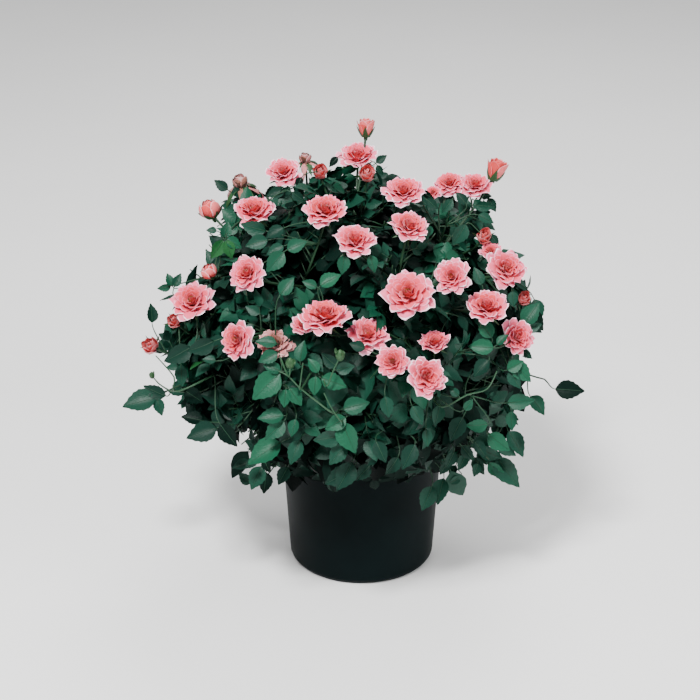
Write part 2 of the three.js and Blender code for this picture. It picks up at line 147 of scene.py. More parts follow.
@dataclass(frozen=True)
class TintFinish:
    """One tint of leaf, petal or stalk, with the fine grain and uneven gloss of its kind."""

    name: str
    colour: Colour
    roughness: tuple[float, float] = (0.4, 0.6)
    specular: float = 0.35
    grain: float = 900.0
    relief: float = 0.2
    sheen: float = 0.0
    subsurface: float = 0.0

    def make(self) -> bpy.types.Material:
        """Makes the material, with its tint on the shader's own socket.

        Returns:
            The material.
        """
        material, tree, shader = start_material(self.name, self.specular)
        shader.inputs["Base Color"].default_value = (*self.colour, 1.0)
        shader.inputs["Sheen Weight"].default_value = self.sheen
        shader.inputs["Subsurface Weight"].default_value = self.subsurface
        shader.inputs["Subsurface Radius"].default_value = PETAL_GLOW
        shader.inputs["Subsurface Scale"].default_value = PETAL_GLOW_DEPTH
        place = tree.nodes.new("ShaderNodeTexCoord").outputs["Object"]
        patches = noise_pattern(tree, place, self.grain / PATCH_SIZE, detail=2.0)
        tree.links.new(spread_over(tree, patches, self.roughness), shader.inputs["Roughness"])
        add_relief(tree, shader, noise_pattern(tree, place, self.grain, detail=2.0), self.relief)
        return material


@dataclass(frozen=True)
class GrainedFinish:
    """Two colours mixed by noise over a fine relief, as on bark, peat and moulded plastic."""

    name: str
    dark: Colour
    light: Colour
    colour_scale: float
    relief_scale: float
    relief: float
    roughness: tuple[float, float]
    stretch: tuple[float, float, float] = (1.0, 1.0, 1.0)
    contrast: tuple[float, float] = (0.35, 0.65)
    specular: float = 0.5

    def make(self) -> bpy.types.Material:
        """Makes the material on Object coordinates.

        Returns:
            The material.
        """
        material, tree, shader = start_material(self.name, self.specular)
        stretched = tree.nodes.new("ShaderNodeMapping")
        stretched.inputs["Scale"].default_value = self.stretch
        place = tree.nodes.new("ShaderNodeTexCoord").outputs["Object"]
        tree.links.new(place, stretched.inputs["Vector"])
        place = stretched.outputs["Vector"]

        patches = noise_pattern(tree, place, self.colour_scale, detail=6.0)
        ramp = tree.nodes.new("ShaderNodeValToRGB")
        ends = zip(ramp.color_ramp.elements, self.contrast, (self.dark, self.light))
        for end, position, colour in ends:
            end.position = position
            end.color = (*colour, 1.0)
        tree.links.new(patches, ramp.inputs["Fac"])
        tree.links.new(ramp.outputs["Color"], shader.inputs["Base Color"])
        tree.links.new(spread_over(tree, patches, self.roughness), shader.inputs["Roughness"])
        bumps = noise_pattern(tree, place, self.relief_scale, detail=3.0)
        add_relief(tree, shader, bumps, self.relief)
        return material


BLACK_PLASTIC = GrainedFinish(
    "black_pot_plastic", (0.0014, 0.0034, 0.0037), (0.003, 0.0072, 0.0077),
    colour_scale=9.0, relief_scale=1600.0, relief=0.04, roughness=(0.36, 0.5), specular=0.03,
)
PEAT = GrainedFinish(
    "damp_potting_mix", (0.006, 0.004, 0.003), (0.045, 0.028, 0.017),
    colour_scale=160.0, relief_scale=900.0, relief=0.6, roughness=(0.8, 1.0), specular=0.2,
)
CANE_BARK = GrainedFinish(
    "cane_bark", (0.022, 0.028, 0.01), (0.07, 0.095, 0.035),
    colour_scale=55.0, relief_scale=420.0, relief=0.5, roughness=(0.6, 0.8),
    stretch=(1.0, 1.0, 0.3), specular=0.3,
)
STUMP_BARK = GrainedFinish(
    "old_bark", (0.018, 0.011, 0.007), (0.1, 0.068, 0.04),
    colour_scale=120.0, relief_scale=500.0, relief=0.8, roughness=(0.75, 0.95),
    stretch=(1.0, 1.0, 0.35), specular=0.2,
)
FLOOR_PAINT = GrainedFinish(
    "pale_floor", (0.92, 0.92, 0.915), (0.94, 0.94, 0.935),
    colour_scale=3.0, relief_scale=300.0, relief=0.01, roughness=(0.75, 0.85), specular=0.2,
)
YOUNG_STEM = TintFinish("young_stem", (0.009, 0.038, 0.015))
PALE_STEM = TintFinish("pale_stem", (0.0165, 0.062, 0.0266))
LEAF_STALK = TintFinish("leaf_stalk", (0.01, 0.046, 0.02))
PRICKLE = TintFinish("prickle", (0.13, 0.055, 0.028))
SEPAL = TintFinish("sepal_green", (0.022, 0.07, 0.024))
POLLEN = TintFinish("pollen", (0.3, 0.15, 0.02), roughness=(0.7, 0.9))


def leaf_tint(name: str, colour: Colour, specular: float = 0.2) -> TintFinish:
    """A leaf's finish: quilted between its veins, with an uneven gloss.

    Args:
        name: The tint's name.
        colour: Its colour.
        specular: How strongly it shines.

    Returns:
        The finish.
    """
    return TintFinish(
        f"leaf_{name}", colour, roughness=(0.34, 0.54), specular=specular, grain=700.0, relief=0.35,
    )


def petal_tint(name: str, colour: Colour) -> TintFinish:
    """A petal's finish: soft, slightly velvety, and lit a little from within.

    Args:
        name: The tint's name.
        colour: Its colour.

    Returns:
        The finish.
    """
    return TintFinish(
        name, colour, roughness=(0.5, 0.7), specular=0.25, grain=1300.0, relief=0.15,
        sheen=0.15, subsurface=0.12,
    )


# From inner to light the leaf tints are one green, painted darker for the shade deep in the crown
# and lighter for the light on the outer leaves, and the darker ones shine less. Part of the spread
# is the leaves' own tone, dealt at random. The young tint is the colour of new leaves.
LEAF_TINTS = (
    leaf_tint("inner", (0.0004, 0.002, 0.0015), 0.03),
    leaf_tint("shaded", (0.0018, 0.0095, 0.0065), 0.06),
    leaf_tint("deep", (0.0042, 0.026, 0.0165), 0.12),
    leaf_tint("green", (0.0048, 0.042, 0.0245)),
    leaf_tint("bright", (0.0042, 0.056, 0.029)),
    leaf_tint("light", (0.0046, 0.07, 0.034)),
    leaf_tint("young", (0.011, 0.085, 0.023)),
)
YOUNG_TINT = len(LEAF_TINTS) - 1
LIGHTEST_TINT = len(LEAF_TINTS) - 2
PETAL_TINTS = (
    petal_tint("petal_heart", (0.42, 0.026, 0.034)),
    petal_tint("petal_coral", (0.68, 0.054, 0.068)),
    petal_tint("petal_rose", (0.78, 0.082, 0.132)),
    petal_tint("petal_pink", (0.82, 0.115, 0.2)),
    petal_tint("petal_light", (0.86, 0.168, 0.285)),
    petal_tint("petal_pale", (0.92, 0.32, 0.46)),
    petal_tint("petal_rim", (0.98, 0.68, 0.78)),
)
BUD_TINTS = (
    petal_tint("bud_deep", (0.42, 0.022, 0.02)),
    petal_tint("bud_coral", (0.66, 0.06, 0.058)),
    petal_tint("bud_salmon", (0.78, 0.135, 0.14)),
    petal_tint("bud_rim", (0.88, 0.37, 0.41)),
)
SPENT_TINTS = (
    petal_tint("spent_brown", (0.1, 0.035, 0.02)),
    petal_tint("spent_buff", (0.26, 0.1, 0.07)),
    petal_tint("spent_pink", (0.5, 0.18, 0.18)),
    petal_tint("spent_rim", (0.66, 0.42, 0.4)),
)


# ---------------------------------------------------------------- small helpers


def seeded(a: float, b: float = 0, c: float = 0) -> float:
    """A number from 0 to 1 that depends only on what it is asked for.

    Args:
        a: The first thing that it depends on.
        b: The second.
        c: The third.

    Returns:
        The number.
    """
    s = math.sin(a * 12.9898 + b * 78.233 + c * 37.719) * 43758.5453
    return s - math.floor(s)


def lerp(a: float, b: float, t: float) -> float:
    """The value a share t of the way from a to b."""
    return a + (b - a) * t


def taper(thick: float, thin: float, steps: int) -> list[float]:
    """Radii that run evenly from thick to thin."""
    return [lerp(thick, thin, i / steps) for i in range(steps + 1)]


def bounded(value: float, most: int) -> int:
    """The whole number nearest to a value, from 0 up to the most."""
    return int(min(most, max(0, round(value))))


def grid_faces(rows: int, columns: int) -> list[tuple[int, int, int, int]]:
    """The faces between a grid's points, which are numbered row by row.

    Args:
        rows: How many rows of points it has.
        columns: How many points a row has.

    Returns:
        Four corners for each face.
    """
    return [
        (i * columns + k, i * columns + k + 1, (i + 1) * columns + k + 1, (i + 1) * columns + k)
        for i in range(rows - 1)
        for k in range(columns - 1)
    ]


def turned(v: Vector, axis: Vector, degrees: float) -> Vector:
    """The vector turned about an axis by the right-hand rule."""
    return Matrix.Rotation(math.radians(degrees), 3, axis) @ v


def across_pair(along: Vector) -> tuple[Vector, Vector]:
    """Two unit vectors across a direction.

    Args:
        along: The direction.

    Returns:
        A level vector across it, and one across both.
    """
    side = along.cross(UP if abs(along.z) < 0.9 else Vector((1.0, 0.0, 0.0))).normalized()
    return side, side.cross(along).normalized()


def direction(turn: float, rise: float) -> Vector:
    """The unit vector with a turn about +Z and a rise above level, in radians."""
    level = math.cos(rise)
    return Vector((math.cos(turn) * level, math.sin(turn) * level, math.sin(rise)))


@dataclass(frozen=True)
class Bezier:
    """A cubic curve from its four control points."""

    points: tuple[Vector, Vector, Vector, Vector]

    def at(self, t: float) -> Vector:
        """The point at a share of the curve.

        Args:
            t: The share, from 0 at its start to 1.

        Returns:
            The point.
        """
        a, b, c, d = self.points
        s = 1.0 - t
        return a * s**3 + b * (3 * s * s * t) + c * (3 * s * t * t) + d * t**3

    def along(self, t: float) -> Vector:
        """The unit tangent at a share of the curve.

        Args:
            t: The share, from 0 at its start to 1.

        Returns:
            The tangent.
        """
        a, b, c, d = self.points
        s = 1.0 - t
        return ((b - a) * (s * s) + (c - b) * (2 * s * t) + (d - c) * (t * t)).normalized()

    def trace(self, steps: int) -> list[Vector]:
        """Points at even shares of the curve, both ends included."""
        return [self.at(i / steps) for i in range(steps + 1)]

    def length(self) -> float:
        """The curve's length, measured on short chords."""
        run = self.trace(8)
        return sum((b - a).length for a, b in zip(run, run[1:]))


class Gatherer:
    """Joins many small shapes of one kind into one mesh, in millimetres until it is built."""

    def __init__(self, name: str, finishes: Sequence[TintFinish | GrainedFinish]) -> None:
        """Starts an empty piece.

        Args:
            name: The piece's name.
            finishes: Its finishes, one for each slot that its faces name.
        """
        self.name = name
        self.finishes = tuple(finishes)
        self.points: list[np.ndarray] = []
        self.faces: list[tuple[int, ...]] = []
        self.slots: list[int] = []
        self.count = 0

    def add(
        self, points: np.ndarray, faces: Iterable[Sequence[int]], slots: int | Sequence[int] = 0
    ) -> None:
        """Adds one shape.

        Args:
            points: Its points, one a row.
            faces: Its faces, as numbers of those points.
            slots: The finish of all its faces, or of each.
        """
        made = [tuple(k + self.count for k in face) for face in faces]
        self.faces.extend(made)
        self.slots.extend([slots] * len(made) if isinstance(slots, int) else slots)
        self.points.append(points)
        self.count += len(points)

    def tube(self, run: Sequence[Vector], radii: Sequence[float], sides: int) -> None:
        """Adds a tapering limb along a run of points, with closed ends.

        Args:
            run: The points.
            radii: The radius at each point.
            sides: How many sides it has.
        """
        points = []
        side, _ = across_pair((run[1] - run[0]).normalized())
        for i, (p, r) in enumerate(zip(run, radii)):
            ahead = (run[min(i + 1, len(run) - 1)] - run[max(i - 1, 0)]).normalized()
            side = (side - ahead * side.dot(ahead)).normalized()
            up = ahead.cross(side)
            for k in range(sides):
                turn = 2 * math.pi * k / sides
                points.append(p + side * (r * math.cos(turn)) + up * (r * math.sin(turn)))
        last = (len(run) - 1) * sides
        faces = []
        for foot in range(0, last, sides):
            for k in range(sides):
                after = (k + 1) % sides
                faces.append((foot + k, foot + after, foot + sides + after, foot + sides + k))
        faces.append(tuple(reversed(range(sides))))
        faces.append(tuple(range(last, last + sides)))
        self.add(np.array(points), faces)

    def build(self, slot: str, replaces: Sequence[str] = (), smooth: bool = True) -> None:
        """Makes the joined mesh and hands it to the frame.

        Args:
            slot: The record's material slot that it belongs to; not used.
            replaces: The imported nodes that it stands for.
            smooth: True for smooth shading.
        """
        mesh = bpy.data.meshes.new(self.name)
        points = np.concatenate(self.points) * MM
        mesh.from_pydata(points.tolist(), [], self.faces)
        for finish in self.finishes:
            mesh.materials.append(finish.make())
        mesh.polygons.foreach_set("material_index", np.array(self.slots, np.int32))
        mesh.polygons.foreach_set("use_smooth", np.full(len(self.faces), smooth))
        mesh.update()
        piece = bpy.data.objects.new(self.name, mesh)
        bpy.context.scene.collection.objects.link(piece)
        hand_over(piece, replaces)


def hand_over(piece: bpy.types.Object, replaces: Sequence[str] = ()) -> None:
    """Rides a finished piece on the plant's body and reports it.

    Args:
        piece: The piece.
        replaces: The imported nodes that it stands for.
    """
    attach(piece, BODY)
    if replaces:
        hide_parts(*replaces)
    triangles = sum(len(p.vertices) - 2 for p in piece.data.polygons)
    LOG.info("%s: %d triangles", piece.name, triangles)


# ---------------------------------------------------------------- the growth rule


class Kind(Enum):
    """What a shoot carries at its tip."""

    BLOOM = "bloom"
    BUD = "bud"
    SPRAY = "spray"
    FILLER = "filler"


LEAN = {Kind.BLOOM: 0.35, Kind.BUD: 1.1, Kind.SPRAY: 0.35, Kind.FILLER: 0.35}
# Two flowers that stand nearer than this share of their widths together grow on one mass.
HEAD_SHARE = 0.53
# Where along a line of sight the crown is looked for, from the middle of the bush.
SIGHT_ENDS = (-300, 300)
SIGHT_STEP = 2
# Where a shoot's leaves end below its tip, as shares of its length.
LAST_LEAF = {Kind.BLOOM: 0.88, Kind.BUD: 0.9, Kind.SPRAY: 1.0, Kind.FILLER: 1.0}

# Rows are side, up, width across, and the share of the crown's radius where that isn't 1.
FRONT_BLOOMS: tuple[Row, ...] = (
    (-4, 394, 44), (-79, 377, 40), (-108, 340, 46), (-37, 340, 48), (-7, 309, 46), (47, 323, 44),
    (42, 358, 44), (87, 366, 34), (113, 365, 38, 1.06), (90, 272, 40), (144, 280, 46),
    (46, 255, 56), (125, 242, 48), (155, 212, 40), (-115, 276, 42), (-170, 248, 48),
    (-125, 209, 42, 1.04), (-37, 235, 56, 1.03), (6, 215, 46, 0.88), (31, 187, 38, 1.02),
    (64, 172, 46, 1.14), (73, 207, 36, 0.92), (-87, 206, 38, 0.95),
)
# Rows are how open the bloom looks, its least width as a share of its most, and the side and up of
# the way that it leans.
FRONT_ATTITUDES: tuple[Row, ...] = (
    (0.58, 0, 1), (0.72, -0.1, 1), (0.57, 0, 1), (0.62, 0, 1), (0.68, 0.15, 1), (0.66, 0.3, 1),
    (0.65, 0, 1), (0.64, -0.2, 1), (0.6, 0.1, 1), (0.93, -1, 1), (0.84, 1, 1), (0.86, 0, 1),
    (0.72, 0.1, 1), (0.86, 1, 0.2), (0.8, -1, 0.8), (0.8, -0.3, 1), (0.78, -1, 0.15), (0.53, 0, 1),
    (0.74, 0.2, 1), (0.96, -0.3, 0.8), (0.92, 1, 0.6), (0.66, 0, 1), (0.8, 0, 1),
)
FRONT_BUDS: tuple[Row, ...] = (
    (4, 421, 15), (-42, 378, 17), (5, 376, 18), (-57, 392, 12), (-122, 369, 15), (-152, 340, 20),
    (-153, 278, 16), (-188, 229, 16), (-212, 204, 18), (134, 379, 18), (122, 313, 17),
    (162, 251, 15),
)
FRONT_SPRAYS: tuple[Row, ...] = (
    (-239, 143), (-200, 133), (-216, 162), (-210, 245), (-205, 260), (-180, 273), (-179, 131),
    (-175, 112), (-125, 101), (-131, 71), (-111, 58), (-97, 55), (-72, 56), (-42, 71), (-17, 61),
    (28, 79), (48, 69), (76, 43), (103, 49), (115, 72), (157, 60), (166, 89), (186, 133),
    (171, 166), (222, 161), (180, 216), (180, 249), (164, 301), (135, 343), (-147, 370),
    (-155, 317),
)

# Leaflets that catch the light on the front. Their tints paint the light and shade on each, all but
# the young tint, which is the colour of new leaves. Rows are the side and up of the foot and of the
# tip, and the number of the tint.
FRONT_LEAFLETS: tuple[Row, ...] = (
    (-191, 263, -205, 260, 4), (-190, 263, -195, 276, 4), (-188, 262, -181, 276, 3),
    (-210, 226, -211, 246, 2), (-139, 309, -151, 290, 6), (-136, 309, -130, 290, 6),
    (-136, 310, -120, 301, 5), (-138, 311, -134, 328, 4), (-145, 318, -156, 319, 3),
    (-134, 359, -148, 369, 2), (-77, 359, -96, 353, 2), (-70, 357, -57, 347, 2),
    (-94, 309, -117, 303, 3), (-75, 299, -55, 308, 4), (-78, 303, -96, 294, 3),
    (-78, 297, -96, 277, 4), (-82, 254, -68, 272, 4), (-42, 263, -21, 275, 5),
    (-45, 262, -60, 268, 4), (-96, 318, -122, 325, 3), (-78, 321, -97, 311, 2),
    (-18, 294, -20, 274, 4), (8, 294, 13, 276, 4), (104, 325, 90, 303, 3), (114, 344, 133, 342, 3),
    (116, 334, 132, 326, 3), (106, 350, 98, 332, 3), (90, 350, 80, 336, 3), (112, 349, 122, 337, 3),
    (126, 351, 134, 337, 2), (104, 345, 94, 357, 2), (118, 353, 130, 353, 2), (14, 386, 25, 394, 2),
    (15, 384, 21, 374, 2), (128, 314, 137, 304, 2), (-128, 362, -121, 350, 2),
    (162, 224, 177, 247, 4), (164, 219, 180, 225, 3), (120, 264, 112, 282, 3),
    (150, 258, 152, 242, 3), (-148, 208, -175, 197, 2), (-171, 202, -198, 187, 2),
    (-146, 188, -160, 190, 3), (-181, 184, -180, 162, 3), (-178, 159, -158, 146, 1),
    (-142, 125, -125, 102, 1), (-145, 121, -176, 111, 2), (-159, 128, -181, 133, 1),
    (-206, 151, -240, 143, 3), (-196, 153, -219, 163, 2), (-205, 151, -200, 133, 3),
    (193, 160, 223, 158, 1), (-112, 87, -130, 81, 2), (-110, 66, -124, 76, 2),
    (-96, 77, -98, 55, 1), (-100, 83, -111, 59, 3), (-81, 107, -115, 85, 5),
    (-78, 128, -97, 109, 4), (-62, 109, -72, 84, 3), (-74, 82, -84, 64, 2),
    (-78, 133, -105, 131, 4), (-66, 130, -71, 112, 4), (-10, 87, -25, 58, 2), (-10, 81, -37, 64, 2),
    (-82, 163, -101, 151, 5), (-76, 160, -78, 141, 5), (-73, 161, -60, 143, 5),
    (-82, 176, -110, 149, 5), (-44, 176, -54, 191, 5), (-46, 173, -48, 153, 5),
    (-41, 171, -15, 162, 5), (-24, 182, -41, 196, 2), (-26, 179, -7, 183, 3), (-19, 140, 8, 147, 4),
    (-16, 132, -37, 119, 5), (-19, 127, -7, 95, 5), (-21, 114, -49, 108, 3),
    (-85, 205, -107, 208, 4), (-84, 196, -104, 187, 4), (-81, 178, -99, 184, 4),
    (-62, 187, -58, 209, 4), (3, 200, -13, 206, 2), (23, 153, 27, 131, 3), (50, 143, 61, 124, 3),
    (78, 144, 73, 123, 3), (64, 120, 66, 102, 3), (97, 153, 87, 162, 3), (102, 139, 111, 150, 4),
    (101, 132, 88, 107, 2), (132, 201, 106, 203, 5), (130, 211, 116, 231, 5),
    (135, 204, 146, 215, 4), (145, 179, 162, 188, 5), (127, 189, 111, 172, 2),
    (145, 146, 173, 149, 4), (168, 153, 183, 134, 4), (150, 187, 169, 167, 5),
    (148, 179, 158, 160, 3), (149, 138, 150, 118, 4), (126, 125, 103, 123, 5),
    (126, 115, 148, 98, 5), (130, 110, 107, 102, 3), (124, 99, 142, 80, 3), (126, 86, 144, 72, 5),
    (135, 92, 157, 61, 3), (116, 86, 112, 72, 3), (98, 72, 87, 65, 3), (82, 71, 75, 44, 3),
    (70, 63, 60, 38, 3), (53, 105, 40, 79, 2), (100, 103, 112, 88, 2), (92, 98, 84, 80, 2),
    (104, 95, 96, 78, 3), (116, 98, 125, 84, 3), (86, 88, 78, 74, 2), (94, 84, 88, 70, 2),
    (-16, 104, -33, 84, 3), (14, 108, 24, 86, 2), (36, 92, 24, 74, 2), (8, 84, -6, 68, 2),
    (112, 92, 122, 74, 2), (118, 101, 140, 90, 3), (136, 106, 154, 93, 3), (112, 108, 124, 92, 2),
    (-84, 362, -98, 352, 1), (-72, 362, -84, 350, 2), (-66, 364, -58, 352, 2),
    (-60, 372, -66, 360, 1), (52, 352, 66, 344, 2), (58, 358, 72, 350, 1), (64, 350, 76, 340, 2),
    (172, 250, 179, 228, 3), (168, 240, 181, 218, 2), (160, 200, 170, 190, 2),
    (146, 118, 162, 92, 3), (-24, 392, -33, 382, 1), (-105, 92, -117, 80, 2), (-98, 90, -92, 76, 1),
)

# Bare stems that show on the front. Rows are the side and up of their points, from the foot.
FRONT_STEMS: tuple[Row, ...] = (
    (-29, 136, -47, 149, -62, 161, -74, 173, -84, 178), (-61, 160, -61, 171, -59, 186),
    (-74, 173, -72, 182), (-36, 163, -29, 178, -23, 190), (80, 142, 105, 154, 125, 160, 135, 178),
    (-183, 158, -200, 163, -209, 172), (-187, 158, -188, 172, -206, 193),
    (-20, 127, -30, 140, -38, 156),
)
# Small buds still shut in their sepals. Rows are side, up and width.
GREEN_BUDS: tuple[Row, ...] = ((-22, 194, 9), (-72, 186, 9), (-210, 174, 6))

# Blooms that stand half hidden behind others. Rows are side, up and width.
HIDDEN_BLOOMS: tuple[Row, ...] = ((71, 356, 18), (129, 297, 25), (-60, 223, 26))

# Round openings: the sky shows there, or nothing stands behind a flower of the front. Rows are
# side, up and radius.
OPEN_SKY: tuple[Row, ...] = (
    (-177, 296, 21), (-172, 318, 20), (-172, 277, 9), (-163, 300, 9), (-200, 238, 7),
    (-207, 176, 12), (-190, 118, 10), (-118, 109, 12), (-146, 94, 16), (-131, 95, 6), (-89, 68, 6),
    (186, 170, 17), (184, 186, 14), (178, 206, 9), (108, 55, 11), (147, 314, 14), (167, 124, 11),
    (151, 101, 6), (-188, 139, 8), (151, 291, 6), (158, 200, 6), (54, 357, 6), (-70, 371, 6),
    (56, 375, 12), (-150, 340, 8), (-92, 366, 7), (-41, 395, 9), (28, 392, 9), (105, 76, 4),
)


@dataclass(frozen=True)
class Viewpoint:
    """The raised front view that the front's flowers are placed from."""

    away: float = 2000.0
    raised: float = math.radians(24.0)
    aim: Vector = field(default_factory=lambda: Vector((-12.0, 0.0, 228.0)))
    side: float = -12.0
    up: float = 199.0
    frame_width: float = 700.0

    @property
    def ahead(self) -> Vector:
        """The direction of view."""
        return Vector((0.0, math.cos(self.raised), -math.sin(self.raised)))

    @property
    def upright(self) -> Vector:
        """The direction that looks upright."""
        return Vector((0.0, math.sin(self.raised), math.cos(self.raised)))

    @property
    def eye(self) -> Vector:
        """The viewpoint itself."""
        return self.aim - self.ahead * self.away

    def toward(self, p: Vector) -> Vector:
        """The unit direction from a point to the eye."""
        return (self.eye - p).normalized()

    def sight(self, side: float, up: float) -> Vector:
        """The unit line of sight through a place on the front elevation.

        Args:
            side: Its distance to the right of the pot's axis.
            up: Its height above the middle of the pot's base.

        Returns:
            The direction from the eye.
        """
        seen = self.aim + self.upright * (up - self.up)
        seen.x += side - self.side
        return (seen - self.eye).normalized()

    def seen(self, p: Vector) -> tuple[float, float]:
        """Where a point shows on the front elevation.

        Args:
            p: The point.

        Returns:
            The place's side and up.
        """
        away = p - self.eye
        scale = self.away / away.dot(self.ahead)
        return self.side + away.x * scale, self.up + away.dot(self.upright) * scale


def in_open_sky(view: Viewpoint, p: Vector) -> bool:
    """True if a point shows in one of the openings."""
    side, up = view.seen(p)
    return any(math.hypot(side - s, up - u) < r for s, u, r in OPEN_SKY)


@dataclass(frozen=True)
class Crown:
    """The egg that the bush fills, widest below its middle."""

    centre: Vector = field(default_factory=lambda: Vector((-10.0, 0.0, 250.0)))
    wide: float = 186.0
    deep: float = 176.0
    rise: float = 168.0
    fall: float = 148.0

    def outness(self, p: Vector) -> float:
        """How far out a point is: 1 on the crown's surface.

        Args:
            p: The point.

        Returns:
            Its distance from the centre, in shares of the crown's radius there.
        """
        d = p - self.centre
        high = self.rise if d.z > 0 else self.fall
        return math.hypot(d.x / self.wide, d.y / self.deep, d.z / high)

    def outward(self, p: Vector) -> Vector:
        """The direction straight out of the crown at a point.

        Args:
            p: The point.

        Returns:
            The direction.
        """
        d = p - self.centre
        tall = self.rise if d.z > 0 else self.fall
        return Vector((d.x / self.wide**2, d.y / self.deep**2, d.z / tall**2)).normalized()

    def within(self, toward: Vector, share: float) -> Vector:
        """The point at a share of the crown's radius in a direction."""
        return self.centre + toward * (share / self.outness(self.centre + toward))

    def on_front(
        self, view: Viewpoint, side: float, up: float, share: float
    ) -> tuple[Vector, float]:
        """Where a line of sight meets the crown at a share of its radius, or passes nearest.

        Args:
            view: The viewpoint.
            side: The place on the front elevation, to the right of the pot's axis.
            up: Its height above the middle of the pot's base.
            share: The share of the crown's radius.

        Returns:
            The point, and how much larger things there are than they look.
        """
        sight = view.sight(side, up)
        first, last = (round(view.away) + end for end in SIGHT_ENDS)
        nearest = view.eye + sight * first
        for far in range(first, last, SIGHT_STEP):
            if self.outness(nearest) <= share:
                break
            p = view.eye + sight * far
            if self.outness(p) < self.outness(nearest):
                nearest = p
        return nearest, (nearest - view.eye).length / view.away


@dataclass(eq=False)
class Mass:
    """One mass of foliage: its site, its cane's path, and its own stem."""

    name: str
    site: Vector
    path: Bezier
    arrive: Vector
    stem: tuple[Vector, Vector]
    shoots: list[Shoot] = field(default_factory=list)

    def on_stem(self, t: float) -> Vector:
        """The point at a share of the stem's length."""
        return self.stem[0].lerp(self.stem[1], t)


@dataclass(eq=False)
class Shoot:
    """One shoot from a mass's stem to its tip."""

    kind: Kind
    point: Vector
    facing: Vector
    across: float
    seed: int
    curve: Bezier | None = None

    @property
    def flowering(self) -> bool:
        """True if it ends in a bloom or a bud."""
        return self.across > 0


@dataclass(frozen=True)
class Ring:
    """A ring of foliage masses round the crown, and how its canes leave the knuckle."""

    name: str
    sectors: int
    first_turn: float
    rise: float
    reach: float
    leave: float


